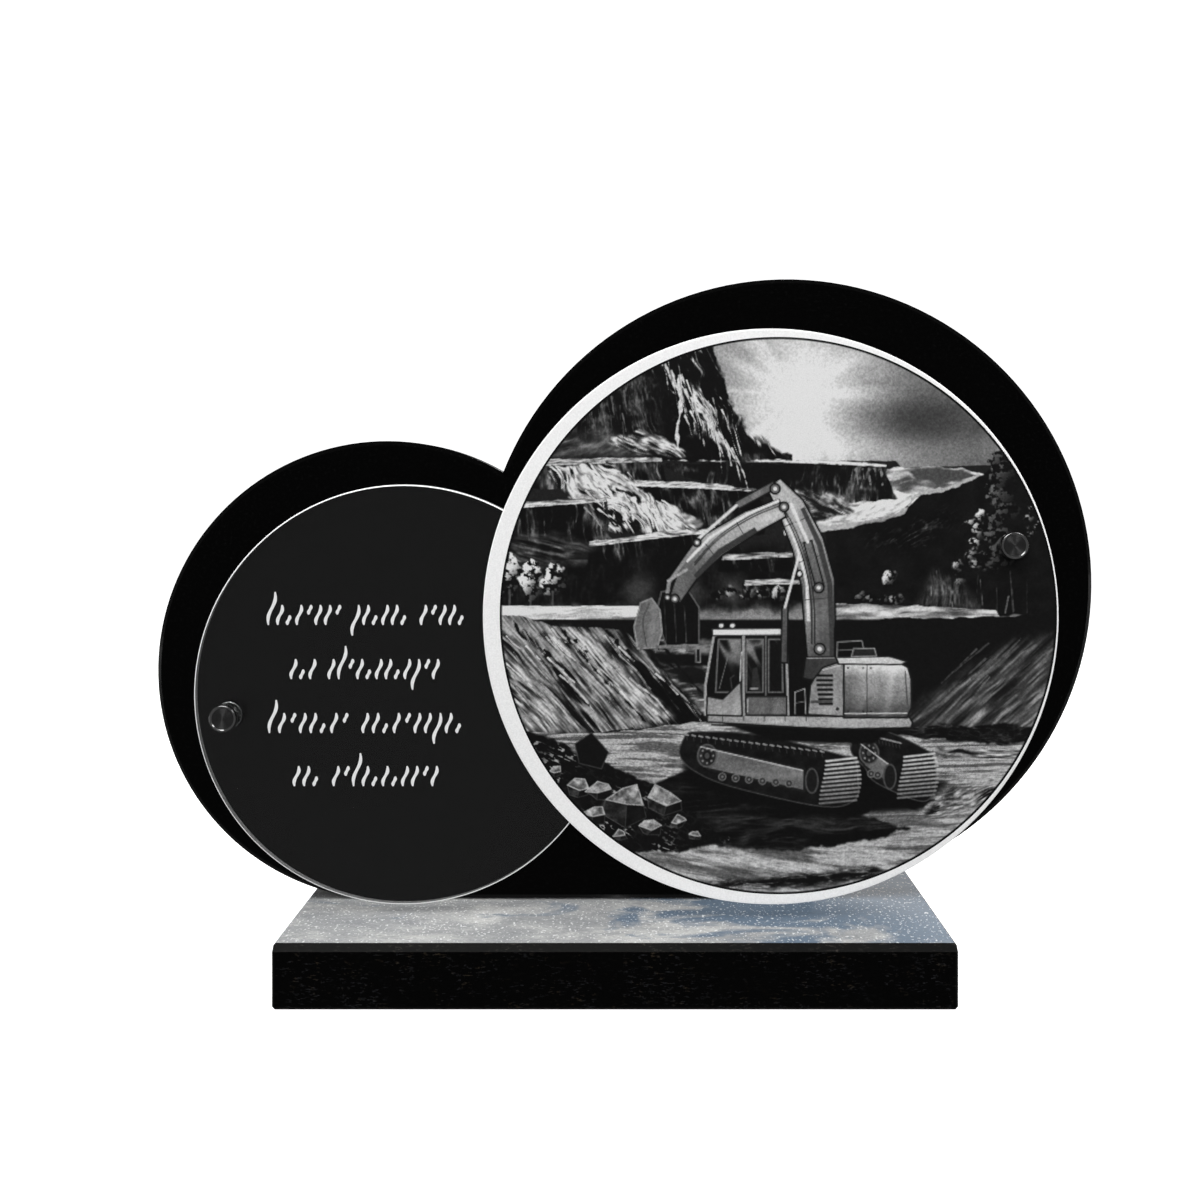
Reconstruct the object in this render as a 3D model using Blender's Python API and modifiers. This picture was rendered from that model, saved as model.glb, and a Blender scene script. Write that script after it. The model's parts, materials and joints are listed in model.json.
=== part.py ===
"""Standing memorial plaque: a stone base, a stone plate shaped as two joined discs, and two glass discs
held in front of the plate by turned metal standoffs.

The frame has its origin at the centre of the base's underside. X runs along the plaque, Y from its front
to its back and Z up. All sizes are in metres.
"""

import math

import bmesh
import bpy
from mathutils import Matrix, Vector

# Base
BASE_WIDTH = 0.300
BASE_DEPTH = 0.150
BASE_HEIGHT = 0.0285
BASE_FRONT_CHAMFER = 0.003
BASE_ARRIS = 0.0012

# Meshes that touch keep this gap
CONTACT_GAP = 0.0003

# Back plate: a small lobe on the left and a large one on the right, on one flat foot
PLATE_THICKNESS = 0.020
PLATE_SETBACK = 0.065
PLATE_FRONT_CHAMFER = 0.0022
PLATE_BACK_CHAMFER = 0.0010
SMALL_LOBE_RADIUS = 0.1112
SMALL_LOBE_X = -0.1113
SMALL_LOBE_FLAT = 0.0008
LARGE_LOBE_RADIUS = 0.1479
LARGE_LOBE_X = 0.0825
LARGE_LOBE_RISE = 0.0043
FOOT_OVERRUN = 0.0125

# Glass discs: each lies beside its lobe's centre and clears the base by its lift
SMALL_GLASS_RADIUS = 0.0985
SMALL_GLASS_THICKNESS = 0.008
SMALL_GLASS_SHIFT = 0.0117
SMALL_GLASS_LIFT = 0.0038
LARGE_GLASS_RADIUS = 0.1334
LARGE_GLASS_THICKNESS = 0.008
LARGE_GLASS_SHIFT = -0.0108
LARGE_GLASS_LIFT = 0.0063
GLASS_ARRIS = 0.0008

# Standoffs: each sits inside its disc's rim, at an angle from +X towards +Z
STANDOFF_LENGTH = 0.012
BARREL_RADIUS = 0.0063
BARREL_EDGE = 0.0004
CAP_RADIUS = 0.0063
CAP_THICKNESS = 0.005
CAP_EDGE = 0.0008
CAP_LAND = 0.0009
DISH_DEPTH = 0.0004
STUD_RADIUS = 0.003
STUD_CLEARANCE = 0.0003
GLASS_HOLE_CLEARANCE = 0.0008
ANCHOR_WALL = 0.010
LEFT_STANDOFF_INSET = 0.0141
LEFT_STANDOFF_ANGLE = math.radians(187.2)
RIGHT_STANDOFF_INSET = 0.0168
RIGHT_STANDOFF_ANGLE = math.radians(16.5)

# Facets
LOBE_STEP = math.radians(2.5)
GLASS_SEGMENTS = 144
TURNED_SEGMENTS = 40
HOLE_SEGMENTS = 32

MERGE_DISTANCE = 0.00001
RIM_ANGLE = math.radians(60)
SHARP_ANGLE = math.radians(25)
FLAT_ANGLE = math.radians(0.1)
CUTTER_MARGIN = 0.002

# Places that follow from the sizes
FOOT_Z = BASE_HEIGHT + CONTACT_GAP
PLATE_FRONT_Y = PLATE_SETBACK - BASE_DEPTH / 2
SMALL_LOBE_Z = FOOT_Z - SMALL_LOBE_FLAT + SMALL_LOBE_RADIUS
LARGE_LOBE_Z = FOOT_Z + LARGE_LOBE_RISE + LARGE_LOBE_RADIUS
FOOT_RIGHT_X = LARGE_LOBE_X + FOOT_OVERRUN

SMALL_GLASS_BACK_Y = PLATE_FRONT_Y - STANDOFF_LENGTH
SMALL_GLASS_FRONT_Y = SMALL_GLASS_BACK_Y - SMALL_GLASS_THICKNESS
LARGE_GLASS_BACK_Y = SMALL_GLASS_FRONT_Y - CONTACT_GAP
SMALL_GLASS_X = SMALL_LOBE_X + SMALL_GLASS_SHIFT
SMALL_GLASS_Z = BASE_HEIGHT + SMALL_GLASS_LIFT + SMALL_GLASS_RADIUS
LARGE_GLASS_X = LARGE_LOBE_X + LARGE_GLASS_SHIFT
LARGE_GLASS_Z = BASE_HEIGHT + LARGE_GLASS_LIFT + LARGE_GLASS_RADIUS
ANCHOR_DEPTH = PLATE_THICKNESS - ANCHOR_WALL
DISH_RADIUS = CAP_RADIUS - CAP_EDGE - CAP_LAND

STONE = ("black_granite", (0.012, 0.012, 0.013), 0.12, 0.0)
GLASS = ("clear_glass", (0.92, 0.95, 0.94), 0.02, 0.0)
METAL = ("dark_chrome", (0.20, 0.20, 0.21), 0.18, 1.0)


def clear_scene():
    """Removes what an earlier run or the start-up file left."""
    for obj in list(bpy.data.objects):
        bpy.data.objects.remove(obj, do_unlink=True)


def new_collection(name):
    collection = bpy.data.collections.new(name)
    bpy.context.scene.collection.children.link(collection)
    return collection


def new_material(node_name, finish):
    """A Principled material of its own for one piece."""
    name, colour, roughness, metallic = finish
    material = bpy.data.materials.new(f"{node_name}_{name}")
    material.use_nodes = True
    shader = material.node_tree.nodes["Principled BSDF"]
    shader.inputs["Base Color"].default_value = (*colour, 1.0)
    shader.inputs["Roughness"].default_value = roughness
    shader.inputs["Metallic"].default_value = metallic
    return material


def place_mesh(bm, name, collection):
    """Turns a bmesh into an object of the collection."""
    mesh = bpy.data.meshes.new(name)
    bm.to_mesh(mesh)
    bm.free()
    obj = bpy.data.objects.new(name, mesh)
    collection.objects.link(obj)
    return obj


def finish_piece(obj, finish):
    """Gives a piece its material and smooth shading with sharp edges."""
    obj.data.materials.append(new_material(obj.name, finish))
    obj.data.shade_smooth()
    obj.data.set_sharp_from_angle(angle=SHARP_ANGLE)


def turn_to_front(obj, x, y, z):
    """Stands an object that was made along +Z with its top facing the front."""
    obj.rotation_euler = (math.radians(90), 0.0, 0.0)
    obj.location = (x, y, z)


def bevel_rim(bm, level, width):
    """Chamfers the sharp rim that lies at one level along Z."""
    rim = [
        edge
        for edge in bm.edges
        if edge.is_manifold
        and edge.calc_face_angle() > RIM_ANGLE
        and all(abs(vertex.co.z - level) < MERGE_DISTANCE for vertex in edge.verts)
    ]
    bmesh.ops.bevel(
        bm, geom=rim, offset=width, offset_type="OFFSET", segments=1, profile=0.5, affect="EDGES"
    )


def make_base(collection):
    """A slab with fine arrises and one wider chamfer along its front top edge."""
    bm = bmesh.new()
    bmesh.ops.create_cube(bm, size=1.0)
    bmesh.ops.scale(bm, vec=(BASE_WIDTH, BASE_DEPTH, BASE_HEIGHT), verts=bm.verts)
    bmesh.ops.translate(bm, vec=(0.0, 0.0, BASE_HEIGHT / 2), verts=bm.verts)
    front = [
        edge
        for edge in bm.edges
        if all(v.co.y < 0.0 and v.co.z > BASE_HEIGHT / 2 for v in edge.verts)
    ]
    bmesh.ops.bevel(
        bm, geom=front, offset=BASE_FRONT_CHAMFER, segments=1, profile=0.5, affect="EDGES"
    )
    obj = place_mesh(bm, "base_block", collection)
    arris = obj.modifiers.new("arris", "BEVEL")
    arris.width = BASE_ARRIS
    arris.segments = 1
    arris.limit_method = "ANGLE"
    arris.angle_limit = RIM_ANGLE
    finish_piece(obj, STONE)
    return obj


def arc_points(centre, radius, start, end):
    """Points on a clockwise arc from the start angle to the smaller end angle, both ends included."""
    steps = max(2, math.ceil((start - end) / LOBE_STEP))
    angles = [start + (end - start) * i / steps for i in range(steps + 1)]
    return [
        (centre[0] + radius * math.cos(angle), centre[1] + radius * math.sin(angle)) for angle in angles
    ]


def upper_crossing(centre_a, radius_a, centre_b, radius_b):
    """The upper one of the two points where two circles cross."""
    between = Vector(centre_b) - Vector(centre_a)
    distance = between.length
    along = (distance**2 + radius_a**2 - radius_b**2) / (2 * distance)
    rise = math.sqrt(radius_a**2 - along**2)
    unit = between / distance
    return Vector(centre_a) + along * unit + rise * Vector((-unit.y, unit.x))


def plate_outline():
    """The plate's outline in X and Z: clockwise from the foot's left end."""
    small = (SMALL_LOBE_X, SMALL_LOBE_Z)
    large = (LARGE_LOBE_X, LARGE_LOBE_Z)
    notch = upper_crossing(small, SMALL_LOBE_RADIUS, large, LARGE_LOBE_RADIUS)
    drop = (SMALL_LOBE_Z - FOOT_Z) / SMALL_LOBE_RADIUS
    foot_left = math.pi + math.asin(drop)
    notch_small = math.atan2(notch.y - small[1], notch.x - small[0])
    notch_large = math.atan2(notch.y - large[1], notch.x - large[0])
    foot_right = -math.acos(FOOT_OVERRUN / LARGE_LOBE_RADIUS)
    points = arc_points(small, SMALL_LOBE_RADIUS, foot_left, notch_small)
    points += arc_points(large, LARGE_LOBE_RADIUS, notch_large, foot_right)[1:]
    points.append((FOOT_RIGHT_X, FOOT_Z))
    return points


def outline_solid(points, thickness):
    """A closed solid of a flat outline, centred on Z, made from a filled 2D curve."""
    curve = bpy.data.curves.new("outline", "CURVE")
    curve.dimensions = "2D"
    curve.fill_mode = "BOTH"
    curve.extrude = thickness / 2
    spline = curve.splines.new("POLY")
    spline.points.add(len(points) - 1)
    for point, (x, y) in zip(spline.points, points):
        point.co = (x, y, 0.0, 1.0)
    spline.use_cyclic_u = True
    guide = bpy.data.objects.new("outline", curve)
    bpy.context.scene.collection.objects.link(guide)
    depsgraph = bpy.context.evaluated_depsgraph_get()
    mesh = bpy.data.meshes.new_from_object(guide.evaluated_get(depsgraph))
    bm = bmesh.new()
    bm.from_mesh(mesh)
    bmesh.ops.remove_doubles(bm, verts=bm.verts, dist=MERGE_DISTANCE)
    bmesh.ops.dissolve_limit(
        bm, angle_limit=FLAT_ANGLE, verts=bm.verts, edges=bm.edges, delimit={"NORMAL"}
    )
    bmesh.ops.recalc_face_normals(bm, faces=bm.faces)
    bpy.data.objects.remove(guide, do_unlink=True)
    bpy.data.curves.remove(curve)
    bpy.data.meshes.remove(mesh)
    return bm


def make_plate(collection):
    """The stone plate, standing on its foot, with both faces' rims chamfered."""
    bm = outline_solid(plate_outline(), PLATE_THICKNESS)
    bevel_rim(bm, PLATE_THICKNESS / 2, PLATE_FRONT_CHAMFER)
    bevel_rim(bm, -PLATE_THICKNESS / 2, PLATE_BACK_CHAMFER)
    obj = place_mesh(bm, "back_plate", collection)
    turn_to_front(obj, 0.0, PLATE_FRONT_Y + PLATE_THICKNESS / 2, 0.0)
    finish_piece(obj, STONE)
    return obj


def make_disc(name, radius, thickness, centre, collection):
    """A glass disc with a fine arris on both faces. The centre lies on its back face."""
    bm = bmesh.new()
    bmesh.ops.create_cone(
        bm,
        cap_ends=True,
        segments=GLASS_SEGMENTS,
        radius1=radius,
        radius2=radius,
        depth=thickness,
        matrix=Matrix.Translation((0.0, 0.0, thickness / 2)),
    )
    bevel_rim(bm, thickness, GLASS_ARRIS)
    bevel_rim(bm, 0.0, GLASS_ARRIS)
    obj = place_mesh(bm, name, collection)
    turn_to_front(obj, *centre)
    finish_piece(obj, GLASS)
    return obj


def turned_piece(name, profile, closed, place, collection):
    """A profile of radius and height, turned about its own axis and stood facing the front."""
    bm = bmesh.new()
    vertices = [bm.verts.new((radius, 0.0, height)) for radius, height in profile]
    for start, end in zip(vertices, vertices[1:]):
        bm.edges.new((start, end))
    if closed:
        bm.edges.new((vertices[-1], vertices[0]))
    obj = place_mesh(bm, name, collection)
    turning = obj.modifiers.new("turning", "SCREW")
    turning.axis = "Z"
    turning.steps = TURNED_SEGMENTS
    turning.render_steps = TURNED_SEGMENTS
    turning.use_merge_vertices = True
    turning.merge_threshold = MERGE_DISTANCE
    turning.use_smooth_shade = True
    turn_to_front(obj, *place)
    finish_piece(obj, METAL)
    return obj


def make_barrel(name, length, place, collection):
    """The spacer tube between the plate and a disc. Its place is the centre of its back end."""
    bore = STUD_RADIUS + STUD_CLEARANCE
    profile = [
        (bore, length),
        (BARREL_RADIUS - BARREL_EDGE, length),
        (BARREL_RADIUS, length - BARREL_EDGE),
        (BARREL_RADIUS, BARREL_EDGE),
        (BARREL_RADIUS - BARREL_EDGE, 0.0),
        (bore, 0.0),
    ]
    return turned_piece(name, profile, True, place, collection)


def make_cap(name, stud_length, place, collection):
    """A dished cap with its stud behind it. Its place is the centre of the cap's back face."""
    profile = [
        (0.0, CAP_THICKNESS - DISH_DEPTH),
        (DISH_RADIUS - DISH_DEPTH, CAP_THICKNESS - DISH_DEPTH),
        (DISH_RADIUS, CAP_THICKNESS),
        (CAP_RADIUS - CAP_EDGE, CAP_THICKNESS),
        (CAP_RADIUS, CAP_THICKNESS - CAP_EDGE),
        (CAP_RADIUS, 0.0),
        (STUD_RADIUS, 0.0),
        (STUD_RADIUS, -stud_length),
        (0.0, -stud_length),
    ]
    return turned_piece(name, profile, False, place, collection)


def cut_hole(obj, name, radius, x, z, front_y, depth, cutters):
    """Drills a round hole from the front, starting a little before the face."""
    bm = bmesh.new()
    length = depth + CUTTER_MARGIN
    bmesh.ops.create_cone(
        bm,
        cap_ends=True,
        segments=HOLE_SEGMENTS,
        radius1=radius,
        radius2=radius,
        depth=length,
        matrix=Matrix.Translation((0.0, 0.0, CUTTER_MARGIN - length / 2)),
    )
    cutter = place_mesh(bm, name, cutters)
    turn_to_front(cutter, x, front_y, z)
    cutter.hide_render = True
    cutter.display_type = "WIRE"
    cut = obj.modifiers.new(name, "BOOLEAN")
    cut.operation = "DIFFERENCE"
    cut.solver = "EXACT"
    cut.object = cutter


def on_disc(centre_x, centre_z, radius, inset, angle):
    """The X and Z of a standoff inside a disc's rim."""
    reach = radius - inset
    return centre_x + reach * math.cos(angle), centre_z + reach * math.sin(angle)


def make_standoff(side, disc, plate, place, disc_back_y, disc_thickness, collection, cutters):
    """A barrel and a cap, with the holes that the stud needs in the disc and the plate."""
    x, z = place
    disc_front_y = disc_back_y - disc_thickness
    barrel_length = PLATE_FRONT_Y - disc_back_y - 2 * CONTACT_GAP
    cap_back_y = disc_front_y - CONTACT_GAP
    stud_length = PLATE_FRONT_Y - cap_back_y + ANCHOR_DEPTH
    make_barrel(
        f"{side}_standoff_barrel", barrel_length, (x, PLATE_FRONT_Y - CONTACT_GAP, z), collection
    )
    make_cap(f"{side}_standoff_cap", stud_length, (x, cap_back_y, z), collection)
    glass_hole = STUD_RADIUS + GLASS_HOLE_CLEARANCE
    anchor_hole = STUD_RADIUS + STUD_CLEARANCE
    through = disc_thickness + CUTTER_MARGIN
    cut_hole(disc, f"{side}_glass_hole", glass_hole, x, z, disc_front_y, through, cutters)
    blind = ANCHOR_DEPTH + CONTACT_GAP
    cut_hole(plate, f"{side}_anchor_hole", anchor_hole, x, z, PLATE_FRONT_Y, blind, cutters)


def build_plaque():
    """Makes every piece in its place."""
    clear_scene()
    parts = new_collection("funeral_plaque")
    cutters = new_collection("cutters")
    make_base(parts)
    plate = make_plate(parts)
    small = make_disc(
        "small_glass_disc",
        SMALL_GLASS_RADIUS,
        SMALL_GLASS_THICKNESS,
        (SMALL_GLASS_X, SMALL_GLASS_BACK_Y, SMALL_GLASS_Z),
        parts,
    )
    large = make_disc(
        "large_glass_disc",
        LARGE_GLASS_RADIUS,
        LARGE_GLASS_THICKNESS,
        (LARGE_GLASS_X, LARGE_GLASS_BACK_Y, LARGE_GLASS_Z),
        parts,
    )
    left = on_disc(
        SMALL_GLASS_X, SMALL_GLASS_Z, SMALL_GLASS_RADIUS, LEFT_STANDOFF_INSET, LEFT_STANDOFF_ANGLE
    )
    right = on_disc(
        LARGE_GLASS_X, LARGE_GLASS_Z, LARGE_GLASS_RADIUS, RIGHT_STANDOFF_INSET, RIGHT_STANDOFF_ANGLE
    )
    make_standoff(
        "left", small, plate, left, SMALL_GLASS_BACK_Y, SMALL_GLASS_THICKNESS, parts, cutters
    )
    make_standoff(
        "right", large, plate, right, LARGE_GLASS_BACK_Y, LARGE_GLASS_THICKNESS, parts, cutters
    )


build_plaque()
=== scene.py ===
"""Looks of a standing memorial plaque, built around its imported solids.

All sizes are in metres. X runs along the plaque, Y from its front to its back and Z up.
"""

import json
import math

import bmesh
import bpy
import numpy as np
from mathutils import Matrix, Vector

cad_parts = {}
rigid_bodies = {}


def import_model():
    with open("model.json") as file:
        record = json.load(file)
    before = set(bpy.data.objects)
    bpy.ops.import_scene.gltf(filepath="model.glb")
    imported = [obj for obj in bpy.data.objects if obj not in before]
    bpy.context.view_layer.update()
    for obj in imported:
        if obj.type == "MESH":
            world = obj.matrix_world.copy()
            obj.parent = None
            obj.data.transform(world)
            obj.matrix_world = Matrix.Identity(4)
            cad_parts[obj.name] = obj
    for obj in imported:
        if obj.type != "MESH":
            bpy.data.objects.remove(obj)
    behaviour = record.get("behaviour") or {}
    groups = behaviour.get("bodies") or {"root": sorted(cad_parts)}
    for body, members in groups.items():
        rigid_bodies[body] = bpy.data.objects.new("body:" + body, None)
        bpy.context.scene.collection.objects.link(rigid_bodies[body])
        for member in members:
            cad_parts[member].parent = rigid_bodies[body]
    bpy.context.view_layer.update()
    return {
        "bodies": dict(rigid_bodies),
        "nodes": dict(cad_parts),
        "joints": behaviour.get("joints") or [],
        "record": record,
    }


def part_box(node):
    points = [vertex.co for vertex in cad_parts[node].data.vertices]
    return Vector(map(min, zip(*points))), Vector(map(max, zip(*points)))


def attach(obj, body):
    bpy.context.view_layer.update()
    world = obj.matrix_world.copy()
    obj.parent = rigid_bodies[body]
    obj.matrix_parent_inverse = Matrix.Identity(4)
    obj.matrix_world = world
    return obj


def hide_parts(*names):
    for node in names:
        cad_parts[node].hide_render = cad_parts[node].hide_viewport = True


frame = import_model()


def corners_of(node):
    """A node's lowest and highest corners."""
    return [Vector(corner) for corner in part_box(node)]


# Where the solids stand
BASE_FRONT = corners_of("base_block")[0].y
SMALL_LOW, SMALL_HIGH = corners_of("small_glass_disc")
LARGE_LOW, LARGE_HIGH = corners_of("large_glass_disc")
SMALL_CENTRE = (SMALL_LOW + SMALL_HIGH) / 2
LARGE_CENTRE = (LARGE_LOW + LARGE_HIGH) / 2
SMALL_RADIUS = (SMALL_HIGH.z - SMALL_LOW.z) / 2
LARGE_RADIUS = (LARGE_HIGH.z - LARGE_LOW.z) / 2

# The photograph's side, focal length and vanishing point, in its pixels
PHOTO_SIDE = 1200
PHOTO_FOCAL = 1373
VANISHING_X = 631.5
VANISHING_Y = 480.8

# The camera: its sensor in millimetres, and its place beside, above and before the base's front
SENSOR_WIDTH = 36.0
CAMERA_X = 0.0072
CAMERA_HEIGHT = 0.2311
CAMERA_REACH = 0.599

# Glass and its frosted marks
GLASS_ARRIS = 0.0006
DISC_SEGMENTS = 240
HOLE_SEGMENTS = 64
HOLE_RADIUS = 0.0038
LAYER_BACK = 0.00003
LAYER_FRONT = 0.00010
FROST_GRAIN = 1500.0
PICTURE_RADIUS = 0.1290
PICTURE_SHIFT_X = 0.0035
PICTURE_SHIFT_Z = 0.0005
PICTURE_CELLS = 280
BORDER_SEGMENTS = 240
LAYER_HOLE = 0.0045

# The picture is painted in its own units, U to the right and V up, with its rim at 1.
# Its tones run from 0 to 1 as they show, and FRONT_LIGHT is the studio light on its face.
EDGE = 0.0022
SUN = (0.06, 0.80)
DARK = 0.04
PAINTWORK = 0.56
DARKEST = 0.05
LIGHTEST = 0.83
CONTRAST = 0.06
FRONT_LIGHT = 0.93

# The inscription: four rows of broad-nib strokes, measured from the small disc's centre
X_HEIGHT = 0.0094
TALL_HEIGHT = 0.0155
NIB_THICK = 0.0024
NIB_THIN = 0.0007
NIB_ANGLE = math.radians(38)
SLANT = 0.20
DEEP_FOOT = 0.0050
STROKE_POINTS = 18
STROKE_TAPER = 2.4
STROKE_TIP = 0.30

# A layer's flat layout: where its front starts and how far it spans, and then its back and edges
FRONT_MAP = (0.01, 0.94)
REST_MAP = (0.96, 0.03)

# Standoffs
CAP_THICKNESS = 0.005
CAP_EDGE = 0.0007
CAP_EDGE_STEPS = 6
CAP_LAND = 0.0009
DISH_DEPTH = 0.00035
DISH_WALL = 0.0004
GROOVE = 0.0002
GROOVE_PLACE = 0.72
STUD_RADIUS = 0.003
BARREL_BORE = 0.0033
BARREL_EDGE = 0.0004
BARREL_EDGE_STEPS = 4
TURNED_SEGMENTS = 96
RING_PITCH = 0.0005

# The stage: a floor just under the base that rises into a round backdrop
FLOOR_GAP = 0.0002
FLOOR_REACH = 5.0
BACKDROP_BEND = 1.0
BACKDROP_HEIGHT = 6.0
BEND_STEPS = 12
STAGE_TURNS = 64
# How far back a direction points, as a sine, for the floor and the wall behind the plaque
FLOOR_BEHIND = 0.3
WALL_BEHIND = -0.25
WORLD_LIGHT = 0.12

# Each lamp: its place, its target, its width and height, its watts, and the rays that don't meet it.
# The lamp behind gives the plate's back its sheen, and the glint picks out the standoffs' rounded edges.
LAMPS = {
    "key": ((-0.5, -0.9, 1.5), (0.0, 0.0, 0.12), (1.2, 0.8), 10.0, ()),
    "top": ((0.15, -0.4, 1.7), (0.0, 0.0, 0.0), (1.6, 1.2), 33.0, ("glossy",)),
    "back": ((0.5, 1.6, 0.6), (0.0, 0.0, 0.25), (1.2, 0.8), 14.0, ("diffuse", "transmission")),
    "glint": ((0.6, -0.5, 0.75), (0.0, 0.0, 0.15), (0.3, 0.3), 0.8, ()),
    "fill": ((0.0, -2.0, 0.7), (0.0, 0.0, 0.15), (2.4, 1.4), 23.2, ("glossy", "transmission")),
}


def link(obj):
    """Puts an object in the scene."""
    bpy.context.scene.collection.objects.link(obj)
    return obj


def add_piece(name, mesh, replaced=()):
    """Links a mesh as a piece that stands still with the plaque."""
    obj = link(bpy.data.objects.new(name, mesh))
    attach(obj, "root")
    if replaced:
        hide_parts(*replaced)
    return obj


def mesh_of(name, vertices, faces):
    """A mesh from lists of points and of the faces between them."""
    mesh = bpy.data.meshes.new(name)
    mesh.from_pydata([tuple(v) for v in vertices], [], [tuple(f) for f in faces])
    mesh.update()
    return mesh


class Nodes:
    """A short way to write one material's node tree."""

    def __init__(self, name):
        self.material = bpy.data.materials.new(name)
        self.material.use_nodes = True
        self.tree = self.material.node_tree
        self.shader = self.tree.nodes["Principled BSDF"]

    def node(self, kind, **settings):
        made = self.tree.nodes.new(kind)
        for key, value in settings.items():
            setattr(made, key, value)
        return made

    def wire(self, source, target):
        self.tree.links.new(source, target)

    def set(self, **values):
        """Sets the shader's own sockets. Underscores stand for spaces."""
        for key, value in values.items():
            self.shader.inputs[key.replace("_", " ")].default_value = value

    def feed(self, socket, source):
        self.wire(source, self.shader.inputs[socket])

    def coordinates(self, scale=(1.0, 1.0, 1.0)):
        place = self.node("ShaderNodeTexCoord")
        mapping = self.node("ShaderNodeMapping")
        mapping.inputs["Scale"].default_value = scale
        self.wire(place.outputs["Object"], mapping.inputs["Vector"])
        return mapping.outputs["Vector"]

    def noise(self, vector, scale, detail=4.0, roughness=0.55, distortion=0.0):
        made = self.node("ShaderNodeTexNoise")
        made.inputs["Scale"].default_value = scale
        made.inputs["Detail"].default_value = detail
        made.inputs["Roughness"].default_value = roughness
        made.inputs["Distortion"].default_value = distortion
        self.wire(vector, made.inputs["Vector"])
        return made.outputs["Fac"]

    def ramp(self, source, stops):
        """A colour ramp. Each stop is a position and a grey or an RGB colour."""
        made = self.node("ShaderNodeValToRGB")
        points = made.color_ramp.elements
        while len(points) < len(stops):
            points.new(1.0)
        for point, (position, colour) in zip(points, stops):
            point.position = position
            rgb = (colour,) * 3 if isinstance(colour, (int, float)) else colour
            point.color = (*rgb, 1.0)
        self.wire(source, made.inputs["Fac"])
        return made.outputs["Color"]

    def mix(self, factor, first, second, blend="MIX"):
        """Mixes two colours. Each is a socket or an RGB colour, and the factor a socket or a number."""
        made = self.node("ShaderNodeMix", data_type="RGBA", blend_type=blend)
        for name, value in (("Factor_Float", factor), ("A_Color", first), ("B_Color", second)):
            target = next(s for s in made.inputs if s.identifier == name)
            if isinstance(value, bpy.types.NodeSocket):
                self.wire(value, target)
            elif isinstance(value, (int, float)):
                target.default_value = value
            else:
                target.default_value = (*value, 1.0)
        return next(s for s in made.outputs if s.identifier == "Result_Color")

    def maths(self, operation, first, second=0.0):
        made = self.node("ShaderNodeMath", operation=operation)
        for target, value in zip(made.inputs, (first, second)):
            if isinstance(value, bpy.types.NodeSocket):
                self.wire(value, target)
            else:
                target.default_value = value
        return made.outputs["Value"]

    def bump(self, height, strength, distance):
        made = self.node("ShaderNodeBump")
        made.inputs["Strength"].default_value = strength
        made.inputs["Distance"].default_value = distance
        self.wire(height, made.inputs["Height"])
        self.feed("Normal", made.outputs["Normal"])


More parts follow.
